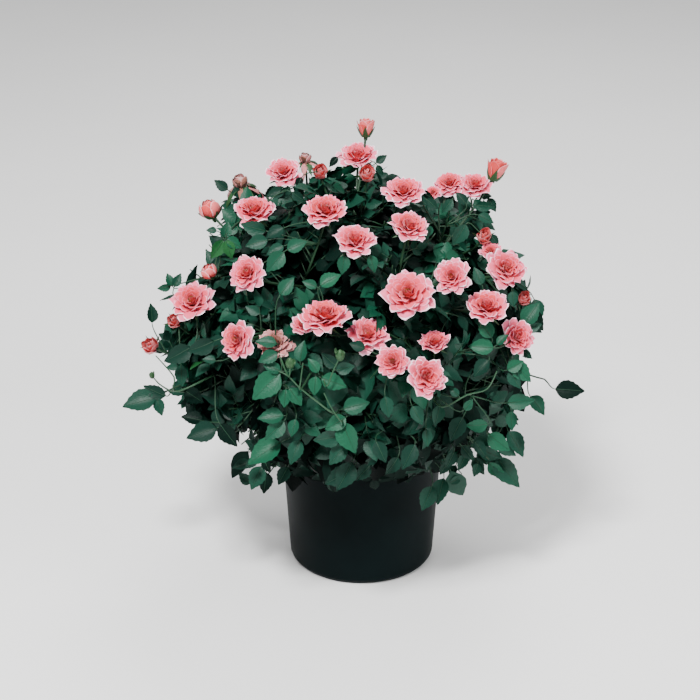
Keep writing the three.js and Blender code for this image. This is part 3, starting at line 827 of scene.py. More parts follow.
@dataclass
class GrowthRule:
    """The rule that places every mass, cane, shoot and flower of the bush."""

    crown: Crown = field(default_factory=Crown)
    view: Viewpoint = field(default_factory=Viewpoint)
    knuckle: Vector = field(default_factory=lambda: Vector((0.0, 0.0, 161.3)))
    knuckle_radius: float = 15.0
    clear: float = 0.3
    rings: tuple[Ring, ...] = (
        Ring("top", 1, -90, 90, 0.52, 90),
        Ring("upper", 6, -120, 40, 0.6, 58),
        Ring("lower", 8, -90, -18, 0.64, 27),
    )
    cane_bend: float = 0.36
    cane_lift: float = 0.15
    stem_length: float = 64.0
    stem_before_site: float = 0.62
    shoot_lowest: float = 0.1
    shoot_highest: float = 0.96
    shoot_bend: float = 0.3
    shoot_straight: float = 2.5
    last_leaf: float = 40.8
    fillers: int = 116
    filler_lowest: float = -0.82
    filler_share: float = 0.86
    filler_room: float = 16.0
    outer_share: float = 0.97
    back_behind: float = 25.0
    back_lowest: float = -0.4
    back_bud: float = 16.0
    back_bloom: float = 40.0
    back_bloom_vary: float = 14.0

    def grow(self) -> list[Mass]:
        """Grows the bush.

        Returns:
            The masses, with their shoots.
        """
        masses = self._masses()
        shoots = self._tips()
        placed: list[tuple[Shoot, Mass]] = []
        for shoot in shoots:
            nearest = min(masses, key=lambda m: (m.site - shoot.point).length)
            for other, mass in placed:
                reach = (other.across + shoot.across) * HEAD_SHARE
                if shoot.flowering and (other.point - shoot.point).length < reach:
                    nearest = mass
                    break
            placed.append((shoot, nearest))
        for mass in masses:
            own = [shoot for shoot, owner in placed if owner is mass]
            mass.shoots = sorted(own, key=lambda s: s.point.dot(mass.arrive))
            for i, shoot in enumerate(mass.shoots):
                shoot.curve = self._curve(shoot, mass, (i + 0.5) / len(own))
        return masses

    def _masses(self) -> list[Mass]:
        """The masses, with their canes and stems but no shoots.

        Returns:
            The masses, ring by ring.
        """
        masses = []
        for ring in self.rings:
            for i in range(ring.sectors):
                turn = math.radians(ring.first_turn + 360 / ring.sectors * i)
                site = self.crown.within(direction(turn, math.radians(ring.rise)), ring.reach)
                leave = direction(turn, math.radians(ring.leave))
                foot = self.knuckle + leave * (self.knuckle_radius + self.clear)
                straight = (site - self.knuckle).normalized()
                arrive = (straight + UP * self.cane_lift).normalized()
                tip = site - arrive * (self.stem_length * self.stem_before_site)
                pull = (tip - foot).length * self.cane_bend
                path = Bezier((foot, foot + leave * pull, tip - arrive * pull, tip))
                start = tip + arrive * self.clear
                stem = (start, start + arrive * self.stem_length)
                name = f"{ring.name}_{i + 1}" if ring.sectors > 1 else ring.name
                masses.append(Mass(name, site, path, arrive, stem))
        return masses

    def _tips(self) -> list[Shoot]:
        """Every shoot's tip, with what it carries.

        Returns:
            Shoots that don't belong to a mass yet.
        """
        tips: list[Shoot] = []

        def add(kind: Kind, point: Vector, across: float = 0.0) -> None:
            """Adds a tip."""
            facing = (self.crown.outward(point) + UP * LEAN[kind]).normalized()
            tips.append(Shoot(kind, point, facing, across, len(tips) + 1))

        for kind, rows in (
            (Kind.BLOOM, FRONT_BLOOMS), (Kind.BUD, FRONT_BUDS), (Kind.SPRAY, FRONT_SPRAYS),
        ):
            for row in rows:
                side, up, across, share = (*row, *(0.0, 1.0)[len(row) - 2:])[:4]
                point, scale = self.crown.on_front(self.view, side, up, share)
                add(kind, point, across * scale)
        front = list(tips)
        for i in range(self.fillers):
            height = 1 - (i + 0.5) / self.fillers * (1 - self.filler_lowest)
            toward = direction(i * GOLDEN_TURN, math.asin(height))
            outer = self.crown.within(toward, self.outer_share)
            heads = (t for t in front if t.flowering)
            if any((t.point - outer).length < t.across / 2 + self.filler_room for t in heads):
                continue
            back = outer.y > self.back_behind and height > self.back_lowest
            if back and i % 7 == 1:
                add(Kind.BUD, outer, self.back_bud)
            elif back and i % 2 == 0:
                across = self.back_bloom + self.back_bloom_vary * (seeded(i, 1) - 0.5)
                add(Kind.BLOOM, outer, across)
            else:
                add(Kind.FILLER, self.crown.within(toward, self.filler_share))
        return tips

    def _curve(self, shoot: Shoot, mass: Mass, rank: float) -> Bezier:
        """The shoot's curve, which meets a flower along its facing.

        Args:
            shoot: The shoot.
            mass: The mass that it belongs to.
            rank: Its rank on the mass's stem, from 0 to 1.

        Returns:
            The curve.
        """
        start = mass.on_stem(lerp(self.shoot_lowest, self.shoot_highest, rank))
        straight = (shoot.point - start).normalized()
        pull = 0.0 if shoot.flowering else self.shoot_straight
        arrive = (shoot.facing + straight * pull).normalized()
        end = shoot.point.copy()
        if shoot.kind is Kind.SPRAY:
            end -= arrive * self.last_leaf
        swing = self.shoot_bend * (end - start).length
        return Bezier((start, start + straight * swing, end - arrive * swing, end))


# ---------------------------------------------------------------- leaves


@dataclass(frozen=True)
class Leaflet:
    """A leaflet of unit length and width, folded along its midrib, arched and finely toothed."""

    rows: int = 8
    fold: float = 0.3
    arch: float = 0.2
    teeth: float = 0.03
    quilting: float = 0.024
    fullness: float = 1.86
    columns: tuple[float, ...] = (-1.0, -0.5, 0.0, 0.5, 1.0)

    def grid(self, twist: float) -> np.ndarray:
        """The leaflet's points, each row from its left edge to its right.

        Args:
            twist: How far its tip is turned about its midrib, as a share of its width.

        Returns:
            Points as length, width and height, in that order.
        """
        points = []
        for i in range(self.rows + 1):
            t = i / self.rows
            half = self.fullness * t**0.75 * (1 - t) ** 1.2
            tooth = self.teeth * (1 if i % 2 else -0.4) if 0 < i < self.rows else 0.0
            height = self.arch * (t - t * t * 1.5)
            for k in self.columns:
                edge = half * (1 + tooth * abs(k))
                lift = self.fold * half * abs(k) ** 1.4 * (1 - 0.35 * t)
                quilt = self.quilting * (1 if i % 2 else -1) * (1 if abs(k) == 0.5 else 0)
                lean = twist * half * k * t
                along = t + 0.02 * abs(k) * (tooth > 0)
                points.append((along, edge * k, height + lift + quilt + lean))
        return np.array(points)

    def faces(self) -> list[tuple[int, ...]]:
        """The leaflet's faces, as numbers of its points."""
        return [(a, d, c, b) for a, b, c, d in grid_faces(self.rows + 1, len(self.columns))]


# Points round a leaf, ahead and beside, as shares of its length.
LEAF_OUTLINE = (
    (0.45, 0.0), (0.75, 0.0), (1.0, 0.0), (0.5, 0.45), (0.5, -0.45), (0.75, 0.3), (0.75, -0.3),
)


@dataclass(frozen=True)
class LeafPlace:
    """Where one compound leaf grows, and its size."""

    root: Vector
    heading: Vector
    face: Vector
    length: float
    pairs: int
    tint: int
    seed: int
    blade: float = 0.47

    def outline(self) -> list[Vector]:
        """A few points round the leaf, for testing that it keeps clear.

        Returns:
            The points.
        """
        side = self.face.cross(self.heading).normalized()
        return [
            self.root + self.heading * (ahead * self.length) + side * (beside * self.length)
            for ahead, beside in LEAF_OUTLINE
        ]


@dataclass
class Foliage:
    """Twigs and compound leaves, on every shoot and along every cane."""

    rule: GrowthRule
    masses: list[Mass]
    leaf_length: float = 64.0
    leaf_vary: float = 0.42
    spacing: float = 9.5
    spread: float = 58.0
    droop: float = 0.3
    crown_reach: float = 1.06
    flowering_reach: float = 1.13
    front_share: float = 1.02
    stem_share: float = 1.07
    tries: int = 5
    pot_radius: float = 89.0
    pot_height: float = 162.0
    spray_turn: float = 1.6
    spray_blade: float = 0.8
    side_twigs: tuple[float, ...] = (0.3, 0.5, 0.7)
    side_length: float = 40.0
    lowest_leaf: float = 0.08
    one_pair_below: float = 42.0
    spread_vary: float = 44.0
    smaller_each_try: float = 0.1
    under_flower: float = 0.72
    young_share: float = 0.9
    young_chance: float = 0.07
    side_reach: float = 0.98
    clear_ahead: float = 34.0
    clear_sight: float = 250.0
    clear_behind: float = -0.45
    clear_shares: tuple[float, float, float] = (0.92, 0.88, 0.36)
    twig_before: float = 60.0
    low_front: Vector = field(default_factory=lambda: Vector((0.0, -140.0, 190.0)))
    low_front_reach: float = 130.0
    low_front_larger: float = 0.25
    # Painted shade: below shade_below, leaves are dealt darker tints.
    shade_below: float = 232.0
    shade_depth: float = 60.0
    # The lightest tint that a spray's end leaf may get, keeping the painted light of the lightest
    # tints off it.
    tip_darker: int = 3
    front_tip_near: float = 5.0
    stalk_dip: float = 6.0
    # Painted shade over the pot, where the foliage above shades the leaves: they are dealt darker
    # tints.
    over_pot: tuple[float, float] = (78.0, 205.0)
    over_pot_shade: float = 0.8
    midrib_proud: float = 0.12
    leaflet: Leaflet = field(default_factory=Leaflet)
    fine_leaflet: Leaflet = field(default_factory=lambda: Leaflet(12, 0.42, 0.26, 0.055, 0.034))

    def __post_init__(self) -> None:
        """Prepares the leaflet's shapes, what is kept clear, and the pieces."""
        self.shapes = [self.leaflet.grid(twist) for twist in (-0.3, -0.1, 0.12, 0.32)]
        self.fine_shapes = [self.fine_leaflet.grid(twist) for twist in (-0.1, 0.12)]
        heads = [s for m in self.masses for s in m.shoots if s.flowering]
        seen = [s for s in heads if s.seed <= len(FRONT_BLOOMS) + len(FRONT_BUDS)]
        toward = self.rule.view.toward
        self.front = [self._front_leaflet(*row) for row in FRONT_LEAFLETS]
        self.front_tips = [foot + along * size for foot, along, size, _ in self.front]
        middles = [foot + along * (size / 2) for foot, along, size, _ in self.front]
        self.head_points = np.array([s.point[:] for s in heads + seen] + [m[:] for m in middles])
        self.head_facing = np.array(
            [s.facing[:] for s in heads]
            + [toward(s.point)[:] for s in seen]
            + [toward(m)[:] for m in middles]
        )
        of_head, of_seen, of_leaflet = self.clear_shares
        self.head_radii = np.array(
            [s.across / 2 * of_head for s in heads]
            + [s.across / 2 * of_seen for s in seen]
            + [of_leaflet * size for _, _, size, _ in self.front]
        )
        sights = len(seen) + len(middles)
        self.head_open = np.array([self.clear_ahead] * len(heads) + [self.clear_sight] * sights)
        runs = [p for m in self.masses for s in m.shoots for p in s.curve.trace(12)]
        self.twig_points = np.array([p[:] for p in runs])
        self.blades = [
            Gatherer(f"leaves_{tint.name.removeprefix('leaf_')}", [tint]) for tint in LEAF_TINTS
        ]
        self.twigs = Gatherer("twigs", [YOUNG_STEM])
        self.stalks = Gatherer("leaf_stalks", [LEAF_STALK])
        self.stems = Gatherer("front_stems", [PALE_STEM])

    def build(self) -> None:
        """Grows every twig and leaf and joins them, each kind apart."""
        for mass in self.masses:
            self._stem_leaves(mass)
            for shoot in mass.shoots:
                self._twig(shoot)
                self._shoot_leaves(shoot)
                for number, share in enumerate(self.side_twigs):
                    self._side_twig(shoot, share, number)
        for number, (foot, along, size, tint) in enumerate(self.front):
            self._grow_front_leaflet(number, foot, along, size, tint)
        for row in FRONT_STEMS:
            self._front_stem(row)
        names = [f"foliage_{mass.name}" for mass in self.masses]
        self.twigs.build("foliage", names)
        self.stalks.build("foliage")
        self.stems.build("foliage")
        for blades in self.blades:
            blades.build("foliage")

    def _front_leaflet(
        self, side: float, up: float, tip_side: float, tip_up: float, tint: float
    ) -> tuple[Vector, Vector, float, int]:
        """Where a leaflet of the front stands, as far from the eye at its tip as at its foot.

        Args:
            side: The foot's place on the front elevation, to the right of the pot's axis.
            up: The foot's height there.
            tip_side: The tip's place.
            tip_up: The tip's height.
            tint: The number of its tint.

        Returns:
            Its foot, its direction, its length and its tint.
        """
        view = self.rule.view
        foot, _ = self.rule.crown.on_front(view, side, up, self.front_share)
        away = (foot - view.eye).length
        tip = view.eye + view.sight(tip_side, tip_up) * away
        return foot, (tip - foot).normalized(), (tip - foot).length, int(tint)

    def _grow_front_leaflet(
        self, number: int, foot: Vector, along: Vector, size: float, tint: int
    ) -> None:
        """Adds a leaflet of the front, on a stalk from the nearest twig behind it.

        Args:
            number: Its number.
            foot: Its foot.
            along: Its direction.
            size: Its length.
            tint: The number of its tint.
        """
        sight = self.rule.view.toward(foot)
        twig = self._twig_behind(foot, along * (0.55 * size))
        reach = (foot - twig).length
        pull = (foot - twig).normalized()
        behind = foot - along * (0.25 * reach) - sight * min(0.3 * reach, self.stalk_dip)
        stalk = Bezier((twig, twig + pull * (0.4 * reach), behind, foot))
        self.stalks.tube(stalk.trace(6), taper(0.8, 0.45, 6), 5)
        face = turned(sight, along, 50 * (seeded(number, 90) - 0.5))
        face = (face - along * face.dot(along)).normalized()
        shape = self.fine_shapes[int(2 * seeded(number, 91))]
        width = size * (0.57 + 0.09 * seeded(number, 92))
        place = (foot, along, face)
        placed = self._set_leaflet(self.fine_leaflet, shape, tint, place, (size, width))
        wide = len(self.fine_leaflet.columns)
        midrib = [Vector(p) + face * self.midrib_proud for p in placed[wide // 2:-wide:wide]]
        self.stalks.tube(midrib, taper(0.42, 0.14, len(midrib)), 3)

    def _twig_behind(self, foot: Vector, off: Vector) -> Vector:
        """The twig that a leaflet or stem of the front most easily grows from.

        Args:
            foot: Its foot.
            off: How far the twig had best stand off the foot, the other way round.

        Returns:
            The place on the twig.
        """
        sight = self.rule.view.toward(foot)
        gaps = self.twig_points - np.array(foot[:])
        ahead = gaps @ np.array(sight[:])
        before = ahead > -2.0
        cost = np.linalg.norm(gaps + np.array(off[:]), axis=1) + self.twig_before * before
        return Vector(self.twig_points[int(np.argmin(cost))])

    def _front_stem(self, row: Row) -> None:
        """Adds a bare stem of the front, out of the nearest twig behind its foot.

        Args:
            row: Its row.
        """
        crown, view = self.rule.crown, self.rule.view
        places = zip(row[::2], row[1::2])
        shown = [crown.on_front(view, *place, self.stem_share)[0] for place in places]
        run = [self._twig_behind(shown[0], (shown[1] - shown[0]) * 0.5), *shown]
        stem = []
        for i in range(len(run) - 1):
            before, after = run[max(0, i - 1)], run[min(len(run) - 1, i + 2)]
            start, end = run[i], run[i + 1]
            stretch = Bezier((start, start + (end - before) / 6, end - (after - start) / 6, end))
            stem += stretch.trace(4)[:-1]
        stem.append(run[-1])
        self.stems.tube(stem, taper(1.05, 0.55, len(stem)), 6)

    def _twig(self, shoot: Shoot) -> None:
        """Adds a shoot's own twig.

        Args:
            shoot: The shoot.
        """
        run = shoot.curve.trace(9)
        thick, thin = (1.5, 1.1) if shoot.flowering else (1.4, 0.7)
        self.twigs.tube(run, taper(thick, thin, 9), 6)

    def _side_twig(self, shoot: Shoot, share: float, number: int) -> None:
        """Adds a finer twig that branches off a shoot, if it keeps to the crown.

        Args:
            shoot: The shoot.
            share: Where it branches off.
            number: Its number on the shoot.
        """
        start = shoot.curve.at(share)
        along = shoot.curve.along(share)
        around = 360 * seeded(shoot.seed, number, 80)
        out = turned(across_pair(along)[0], along, around)
        outward = self.rule.crown.outward(start)
        heading = (out + along * 0.6 + outward * 0.5).normalized()
        length = self.side_length * (0.7 + 0.6 * seeded(shoot.seed, number, 81))
        tip = start + heading * length
        if self.rule.crown.outness(tip) > self.side_reach or self._blocks(np.array([tip[:]])):
            return
        bend = (outward + UP * 0.4).normalized()
        curve = Bezier((start, start + heading * (length * 0.4), tip - bend * (length * 0.2), tip))
        side = Shoot(Kind.FILLER, tip, bend, 0.0, shoot.seed * 7 + number, curve)
        if self._shoot_leaves(side):
            self.twigs.tube(curve.trace(5), taper(1.0, 0.55, 5), 5)

    def _first_clear(self, leaves: Iterable[LeafPlace], reach: float) -> bool:
        """Adds the first of some leaves that keeps clear.

        Args:
            leaves: The leaves, made one by one.
            reach: How far out they may stand, in shares of the crown's radius.

        Returns:
            True if one did.
        """
        for leaf in leaves:
            if self._keeps_clear(leaf, reach):
                self._add_leaf(leaf)
                return True
        return False

    def _shoot_leaves(self, shoot: Shoot) -> int:
        """Adds the leaves of one shoot, on alternate sides from its tip down.

        Args:
            shoot: The shoot.

        Returns:
            How many leaves it has.
        """
        grown = 0
        last = LAST_LEAF[shoot.kind]
        count = max(3, round(shoot.curve.length() * (last - self.lowest_leaf) / self.spacing))
        ended = shoot.kind is Kind.SPRAY and self._ends_in_front_leaflet(shoot.point)
        for rank in range(int(ended), count):
            share = lerp(last, self.lowest_leaf, rank / (count - 1))
            leaves = (self._leaf_on(shoot, share, rank, i) for i in range(self.tries))
            grown += self._first_clear(leaves, self._reach(shoot, share))
        return grown

    def _ends_in_front_leaflet(self, tip: Vector) -> bool:
        """True if a leaflet of the front shows at a spray's tip, in place of the spray's own.

        Args:
            tip: The spray's tip.

        Returns:
            True if there is one.
        """
        side, up = self.rule.view.seen(tip)
        shown = [self.rule.view.seen(p) for p in self.front_tips]
        return any(math.hypot(side - s, up - u) < self.front_tip_near for s, u in shown)

    def _reach(self, shoot: Shoot, share: float) -> float:
        """How far out a leaf may stand, in shares of the crown's radius: a spray's tip is free.

        Args:
            shoot: The shoot that it grows on.
            share: How far along the shoot it grows.

        Returns:
            The share of the radius.
        """
        if shoot.kind is Kind.SPRAY:
            return math.inf if share == 1.0 else self.flowering_reach
        return self.flowering_reach if shoot.flowering else self.crown_reach

    def _leaf_on(self, shoot: Shoot, share: float, rank: int, attempt: int) -> LeafPlace:
        """A leaf at a share of a shoot's length. Each further try turns it on and shrinks it.

        Args:
            shoot: The shoot.
            share: The share of its length.
            rank: The leaf's rank from the tip down.
            attempt: How many attitudes were tried before.

        Returns:
            The leaf's place.
        """
        seed = shoot.seed
        point = shoot.curve.at(share)
        along = shoot.curve.along(share)
        at_tip = share == 1.0
        face = self.rule.crown.outward(point) + UP * 0.5
        if shoot.kind is Kind.SPRAY:
            face += self.rule.view.toward(point) * self.spray_turn
        face = (face - along * (face.dot(along) * 0.8)).normalized()
        side = 0 if at_tip else (1 if rank % 2 else -1) * (-1 if attempt % 2 else 1)
        spread = self.spread + self.spread_vary * (seeded(seed, rank, attempt) - 0.5)
        heading = turned(along, face, spread * side)
        heading = (heading - UP * (self.droop * seeded(seed, rank, attempt + 10))).normalized()
        own = 1 - self.leaf_vary * (seeded(seed, rank, 9) - 0.4)
        near_front = max(0.0, 1 - (point - self.low_front).length / self.low_front_reach)
        own *= 1 + self.low_front_larger * near_front
        size = self.leaf_length * own * (1 - self.smaller_each_try * attempt)
        if shoot.flowering:
            size *= lerp(1.0, self.under_flower, share)
        ends_spray = at_tip and shoot.kind is Kind.SPRAY
        if ends_spray:
            size = (shoot.point - point).length
            heading = (shoot.point - point).normalized()
        tint = self._tint(point + heading * (size * 0.6), share, seed, rank)
        number = seed * 31 + rank
        if ends_spray:
            # Painted light: a spray's end leaf is kept below the tints that paint the most light.
            tint = min(tint, self.tip_darker)
            return LeafPlace(point, heading, face, size, 0, tint, number, self.spray_blade)
        pairs = 1 if size < self.one_pair_below else 2
        return LeafPlace(point, heading, face, size, pairs, tint, number)

    def _tint(self, middle: Vector, share: float, seed: int, rank: int) -> int:
        """Deals a leaf its tint: painted shade makes it darker deep inside the crown, low down and
        over the pot, its own tone varies at random, and now and then it is young at a tip.

        Args:
            middle: The leaf's middle.
            share: Where it grows on its shoot.
            seed: The shoot's seed.
            rank: The leaf's rank.

        Returns:
            The number of the tint.
        """
        if share > self.young_share and seeded(seed, 77) < self.young_chance:
            return YOUNG_TINT
        # Painted shade: the tint is darker the deeper the leaf sits in the crown, the lower it is,
        # and over the pot.
        value = 0.15 + 2.7 * (self.rule.crown.outness(middle) - 0.42) / 0.58
        value -= min(1.0, max(0.0, (self.shade_below - middle.z) / self.shade_depth))
        if abs(middle.x) < self.over_pot[0] and middle.z < self.over_pot[1]:
            value -= self.over_pot_shade
        # The leaf's own tone, varied at random.
        value += 2.2 * (seeded(seed, 41) - 0.5) + 1.8 * (seeded(seed, rank, 42) - 0.5)
        return bounded(value, LIGHTEST_TINT)

    def _keeps_clear(self, leaf: LeafPlace, reach: float) -> bool:
        """Tests that a leaf stays in the crown, off the pot and clear of flowers and openings.

        Args:
            leaf: The leaf.
            reach: How far out it may stand, in shares of the crown's radius.

        Returns:
            True if it does.
        """
        outline = leaf.outline()
        for p in outline:
            if self.rule.crown.outness(p) > reach:
                return False
            if p.z < self.pot_height and math.hypot(p.x, p.y) < self.pot_radius:
                return False
            if reach < math.inf and in_open_sky(self.rule.view, p):
                return False
        return reach == math.inf or not self._blocks(np.array([p[:] for p in outline]))

    def _blocks(self, points: np.ndarray) -> bool:
        """Tests whether any of some points is before a flower.

        Args:
            points: The points, one a row.

        Returns:
            True if one is.
        """
        away = points[:, None, :] - self.head_points[None, :, :]
        ahead = np.einsum("pkc,kc->pk", away, self.head_facing)
        beside = np.sqrt(np.maximum((away**2).sum(2) - ahead**2, 0))
        within = (ahead > self.clear_behind * self.head_radii) & (ahead < self.head_open)
        return bool((within & (beside < self.head_radii)).any())

    def _add_leaf(self, leaf: LeafPlace) -> None:
        """Adds a compound leaf: its stalk, its pairs of leaflets and the one at its end.

        Args:
            leaf: Where it grows.
        """
        side = leaf.face.cross(leaf.heading).normalized()
        face = leaf.heading.cross(side).normalized()
        stalk = leaf.length * (1.03 - leaf.blade)
        sag = 0.1 + 0.12 * seeded(leaf.seed, 3)

        def on_stalk(t: float) -> Vector:
            """The point at a share of the stalk."""
            return leaf.root + leaf.heading * (stalk * t) - face * (stalk * sag * t * t)

        self.stalks.tube([on_stalk(t) for t in (0.0, 0.5, 1.0)], [0.75, 0.55, 0.4], 4)
        end = on_stalk(1.0)
        onward = (leaf.heading - face * (2 * sag)).normalized()
        self._add_leaflet(leaf, end, onward, face, leaf.length * leaf.blade, 0)
        for pair in range(leaf.pairs):
            t = 0.86 - 0.36 * pair if leaf.pairs > 1 else 0.72
            size = leaf.length * (leaf.blade * 0.85 - 0.07 * pair)
            for hand in (-1, 1):
                number = 1 + 2 * pair + (hand > 0)
                turn = hand * (56 + 20 * (seeded(leaf.seed, number) - 0.5))
                self._add_leaflet(leaf, on_stalk(t), turned(onward, face, turn), face, size, number)

    def _add_leaflet(
        self, leaf: LeafPlace, root: Vector, along: Vector, face: Vector, size: float, number: int
    ) -> None:
        """Adds one leaflet.

        Args:
            leaf: The leaf that it belongs to.
            root: Where it joins the stalk.
            along: Its direction.
            face: The way its upper side looks.
            size: Its length.
            number: Its number on the leaf.
        """
        tilt = 46 * (seeded(leaf.seed, number, 5) - 0.5)
        face = turned(face, along, tilt)
        along = turned(along, face.cross(along).normalized(), 18 * seeded(leaf.seed, number, 6) - 4)
        width = size * (0.55 + 0.1 * seeded(leaf.seed, number, 7))
        shape = self.shapes[int(seeded(leaf.seed, number, 8) * len(self.shapes))]
        self._set_leaflet(self.leaflet, shape, leaf.tint, (root, along, face), (size, width))

    def _set_leaflet(
        self, kind: Leaflet, shape: np.ndarray, tint: int, place: tuple[Vector, Vector, Vector],
        size: tuple[float, float],
    ) -> np.ndarray:
        """Sets one leaflet's shape in its place.

        Args:
            kind: The kind of leaflet.
            shape: Its shape, of unit length and width.
            tint: The number of its tint.
            place: Its root, its direction, and the way its upper side looks.
            size: Its length and width.

        Returns:
            Its points.
        """
        root, along, face = place
        length, width = size
        side = face.cross(along).normalized()
        up = along.cross(side).normalized()
        axes = np.array([(along * length)[:], (side * width)[:], (up * width)[:]])
        placed = shape @ axes + np.array(root[:])
        self.blades[tint].add(placed, kind.faces())
        return placed

    def _stem_leaves(self, mass: Mass) -> None:
        """Adds a mass's own stem, and the shaded leaves along its stem and its cane.

        Args:
            mass: The mass.
        """
        run = [mass.on_stem(i / 5 * self.rule.shoot_highest) for i in range(6)]
        self.twigs.tube(run, taper(3.0, 1.2, 5), 8)
        places = [(mass.path.at(t), mass.path.along(t)) for t in (0.45, 0.6, 0.75, 0.9)]
        places += [(mass.on_stem(t), mass.arrive) for t in (0.05, 0.2, 0.35, 0.5, 0.65, 0.8, 0.95)]
        seed = round(mass.site.x * 7 + mass.site.z * 3)
        for rank, (point, along) in enumerate(places):
            leaves = (self._leaf_near(point, along, seed, rank, i) for i in range(self.tries))
            self._first_clear(leaves, self.crown_reach)

    def _leaf_near(
        self, point: Vector, along: Vector, seed: int, rank: int, attempt: int
    ) -> LeafPlace:
        """A shaded leaf on a mass's stem or cane. Each further try turns it on.

        Args:
            point: Where it grows.
            along: The stem's direction there.
            seed: The mass's seed.
            rank: The leaf's rank.
            attempt: How many attitudes were tried before.

        Returns:
            The leaf's place.
        """
        around = turned(across_pair(along)[0], along, 137.5 * rank + 40 * attempt)
        heading = (around + along * 0.7).normalized()
        face = (UP + self.rule.crown.outward(point) * 0.5).normalized()
        face = (face - heading * face.dot(heading)).normalized()
        size = self.leaf_length * (0.9 + 0.25 * seeded(seed, rank, attempt))
        # Painted shade: these leaves deep in the crown get only the two darkest tints.
        tint = int(seeded(seed, rank, 2) * 2)
        return LeafPlace(point, heading, face, size, 2, tint, seed + rank)


# ---------------------------------------------------------------- flowers


# The rows and columns of a narrow petal or sepal.
NARROW = {"rows": (0.0, 0.3, 0.55, 0.8, 1.0), "columns": (-1.0, 0.0, 1.0)}


@dataclass(frozen=True)
class PetalSheet:
    """One petal as a sheet round the flower's axis, in shares of the flower's radius."""

    base: float
    length: float
    half_width: float
    lean_foot: float
    lean_tip: float
    foot_height: float
    turn: float
    roll: float = 0.0
    curl: float = 0.0
    ruffle: float = 0.0
    point: float = 0.03
    shoulder: float = 0.4
    phase: float = 0.0
    rows: tuple[float, ...] = (0.0, 0.22, 0.42, 0.6, 0.76, 0.88, 0.95, 1.0)
    columns: tuple[float, ...] = (-1.0, -0.86, -0.5, -0.17, 0.17, 0.5, 0.86, 1.0)
    steps: int = 24
    curl_from: float = 0.72
    least_out: float = 0.14
    edge_power: float = 2.4
    notch_width: float = 0.25
    waves: float = 4.6

    def grid(self) -> np.ndarray:
        """The petal's points, from its foot to its rim, each row from its left to its right.

        Returns:
            Points with +Z along the flower's axis.
        """
        u = np.array(self.columns)
        v = np.linspace(0.0, 1.0, self.steps + 1)
        tip_curl = np.clip((v - self.curl_from) / (1 - self.curl_from), 0, 1) ** 2
        onward = (self.lean_tip - self.lean_foot) * v**1.25
        lean = np.radians(self.lean_foot + onward + self.curl * tip_curl)
        step = self.length / self.steps
        run = self.base + np.concatenate([[0.0], np.cumsum(np.sin(lean[:-1]) * step)])
        rise = self.foot_height + np.concatenate([[0.0], np.cumsum(np.cos(lean[:-1]) * step)])
        edge = np.abs(u) ** self.edge_power
        notch = 1 - np.exp(-((u / self.notch_width) ** 2))
        reach = 1 - self.shoulder * edge - self.point * notch
        points = []
        for row in self.rows:
            t = row * reach
            out = np.interp(t, v, run)
            high = np.interp(t, v, rise)
            tilt = np.interp(t, v, lean)
            fullness = np.sin(np.pi * np.minimum(row * 0.6 + 0.04, 0.5)) ** 0.9
            half = self.half_width * (0.2 + 0.8 * fullness)
            spin = self.turn + u * half / np.maximum(out, self.least_out)
            wave = self.ruffle * row**2 * np.sin(self.waves * u + self.phase)
            back = self.roll * edge * row**2
            far = out - wave * np.cos(tilt) - 0.3 * back * row
            high = high + wave * np.sin(tilt) - back
            points.append(np.stack([far * np.cos(spin), far * np.sin(spin), high], 1))
        return np.concatenate(points)

    def faces(self) -> list[tuple[int, ...]]:
        """The petal's faces, as numbers of its points."""
        return grid_faces(len(self.rows), len(self.columns))

    def tints(self, heart: float, spread: float, rim: float, most: int) -> list[int]:
        """Deals every face a tint, lighter towards the tip and lightest on the rim.

        Args:
            heart: The tint at the petal's foot.
            spread: How many tints lighter its tip is.
            rim: How many more the thin rim is.
            most: The number of the lightest tint.

        Returns:
            The numbers of the tints.
        """
        slots = []
        last_row, last_column = len(self.rows) - 2, len(self.columns) - 2
        for i in range(last_row + 1):
            v = (self.rows[i] + self.rows[i + 1]) / 2
            for k in range(last_column + 1):
                on_rim = i == last_row or (k in (0, last_column) and v > 0.35)
                value = heart + spread * v**1.5 + rim * on_rim
                slots.append(bounded(value, most))
        return slots


class Look(Enum):
    """A flower's age."""

    FRESH = "fresh"
    ROUND = "round"
    GOBLET = "goblet"
    SPENT = "spent"


# The flowers that aren't fresh, by their numbers in the rows above.
LOOKS = {
    23: Look.SPENT, 24: Look.GOBLET, 27: Look.SPENT, 28: Look.SPENT, 29: Look.ROUND, 30: Look.ROUND,
    33: Look.GOBLET,
}


@dataclass(frozen=True)
class BudForm:
    """A bud's form from its innermost petal to its outermost, and its size."""

    girth: float
    base: tuple[float, float]
    length: tuple[float, float]
    lean_foot: tuple[float, float]
    lean_tip: tuple[float, float]
    curl: float
    nod: float


BUD_FORMS = {
    Look.FRESH: BudForm(0.96, (0.05, 0.22), (1.8, 1.85), (8, 68), (-34, -30), 30, 1.5),
    Look.ROUND: BudForm(1.0, (0.06, 0.24), (1.95, 2.25), (8, 70), (-24, -60), -10, 0.1),
    Look.GOBLET: BudForm(1.18, (0.08, 0.4), (2.0, 2.1), (6, 30), (-8, 4), 30, 0.0),
    Look.SPENT: BudForm(1.15, (0.06, 0.2), (1.4, 1.9), (8, 64), (-30, -30), 0, 0.3),
}


@dataclass(frozen=True)
class FlowerHead:
    """Where a flower's own axes stand."""

    point: Vector
    facing: Vector
    radius: float
    seed: int
    look: Look

    def placed(self, points: np.ndarray) -> np.ndarray:
        """Puts points given in shares of the flower's radius, +Z along its axis, on the bush.

        Args:
            points: The points.

        Returns:
            The points in the bush's frame.
        """
        side, up = across_pair(self.facing)
        axes = np.array([side[:], up[:], self.facing[:]])
        return points * self.radius @ axes + np.array(self.point[:])


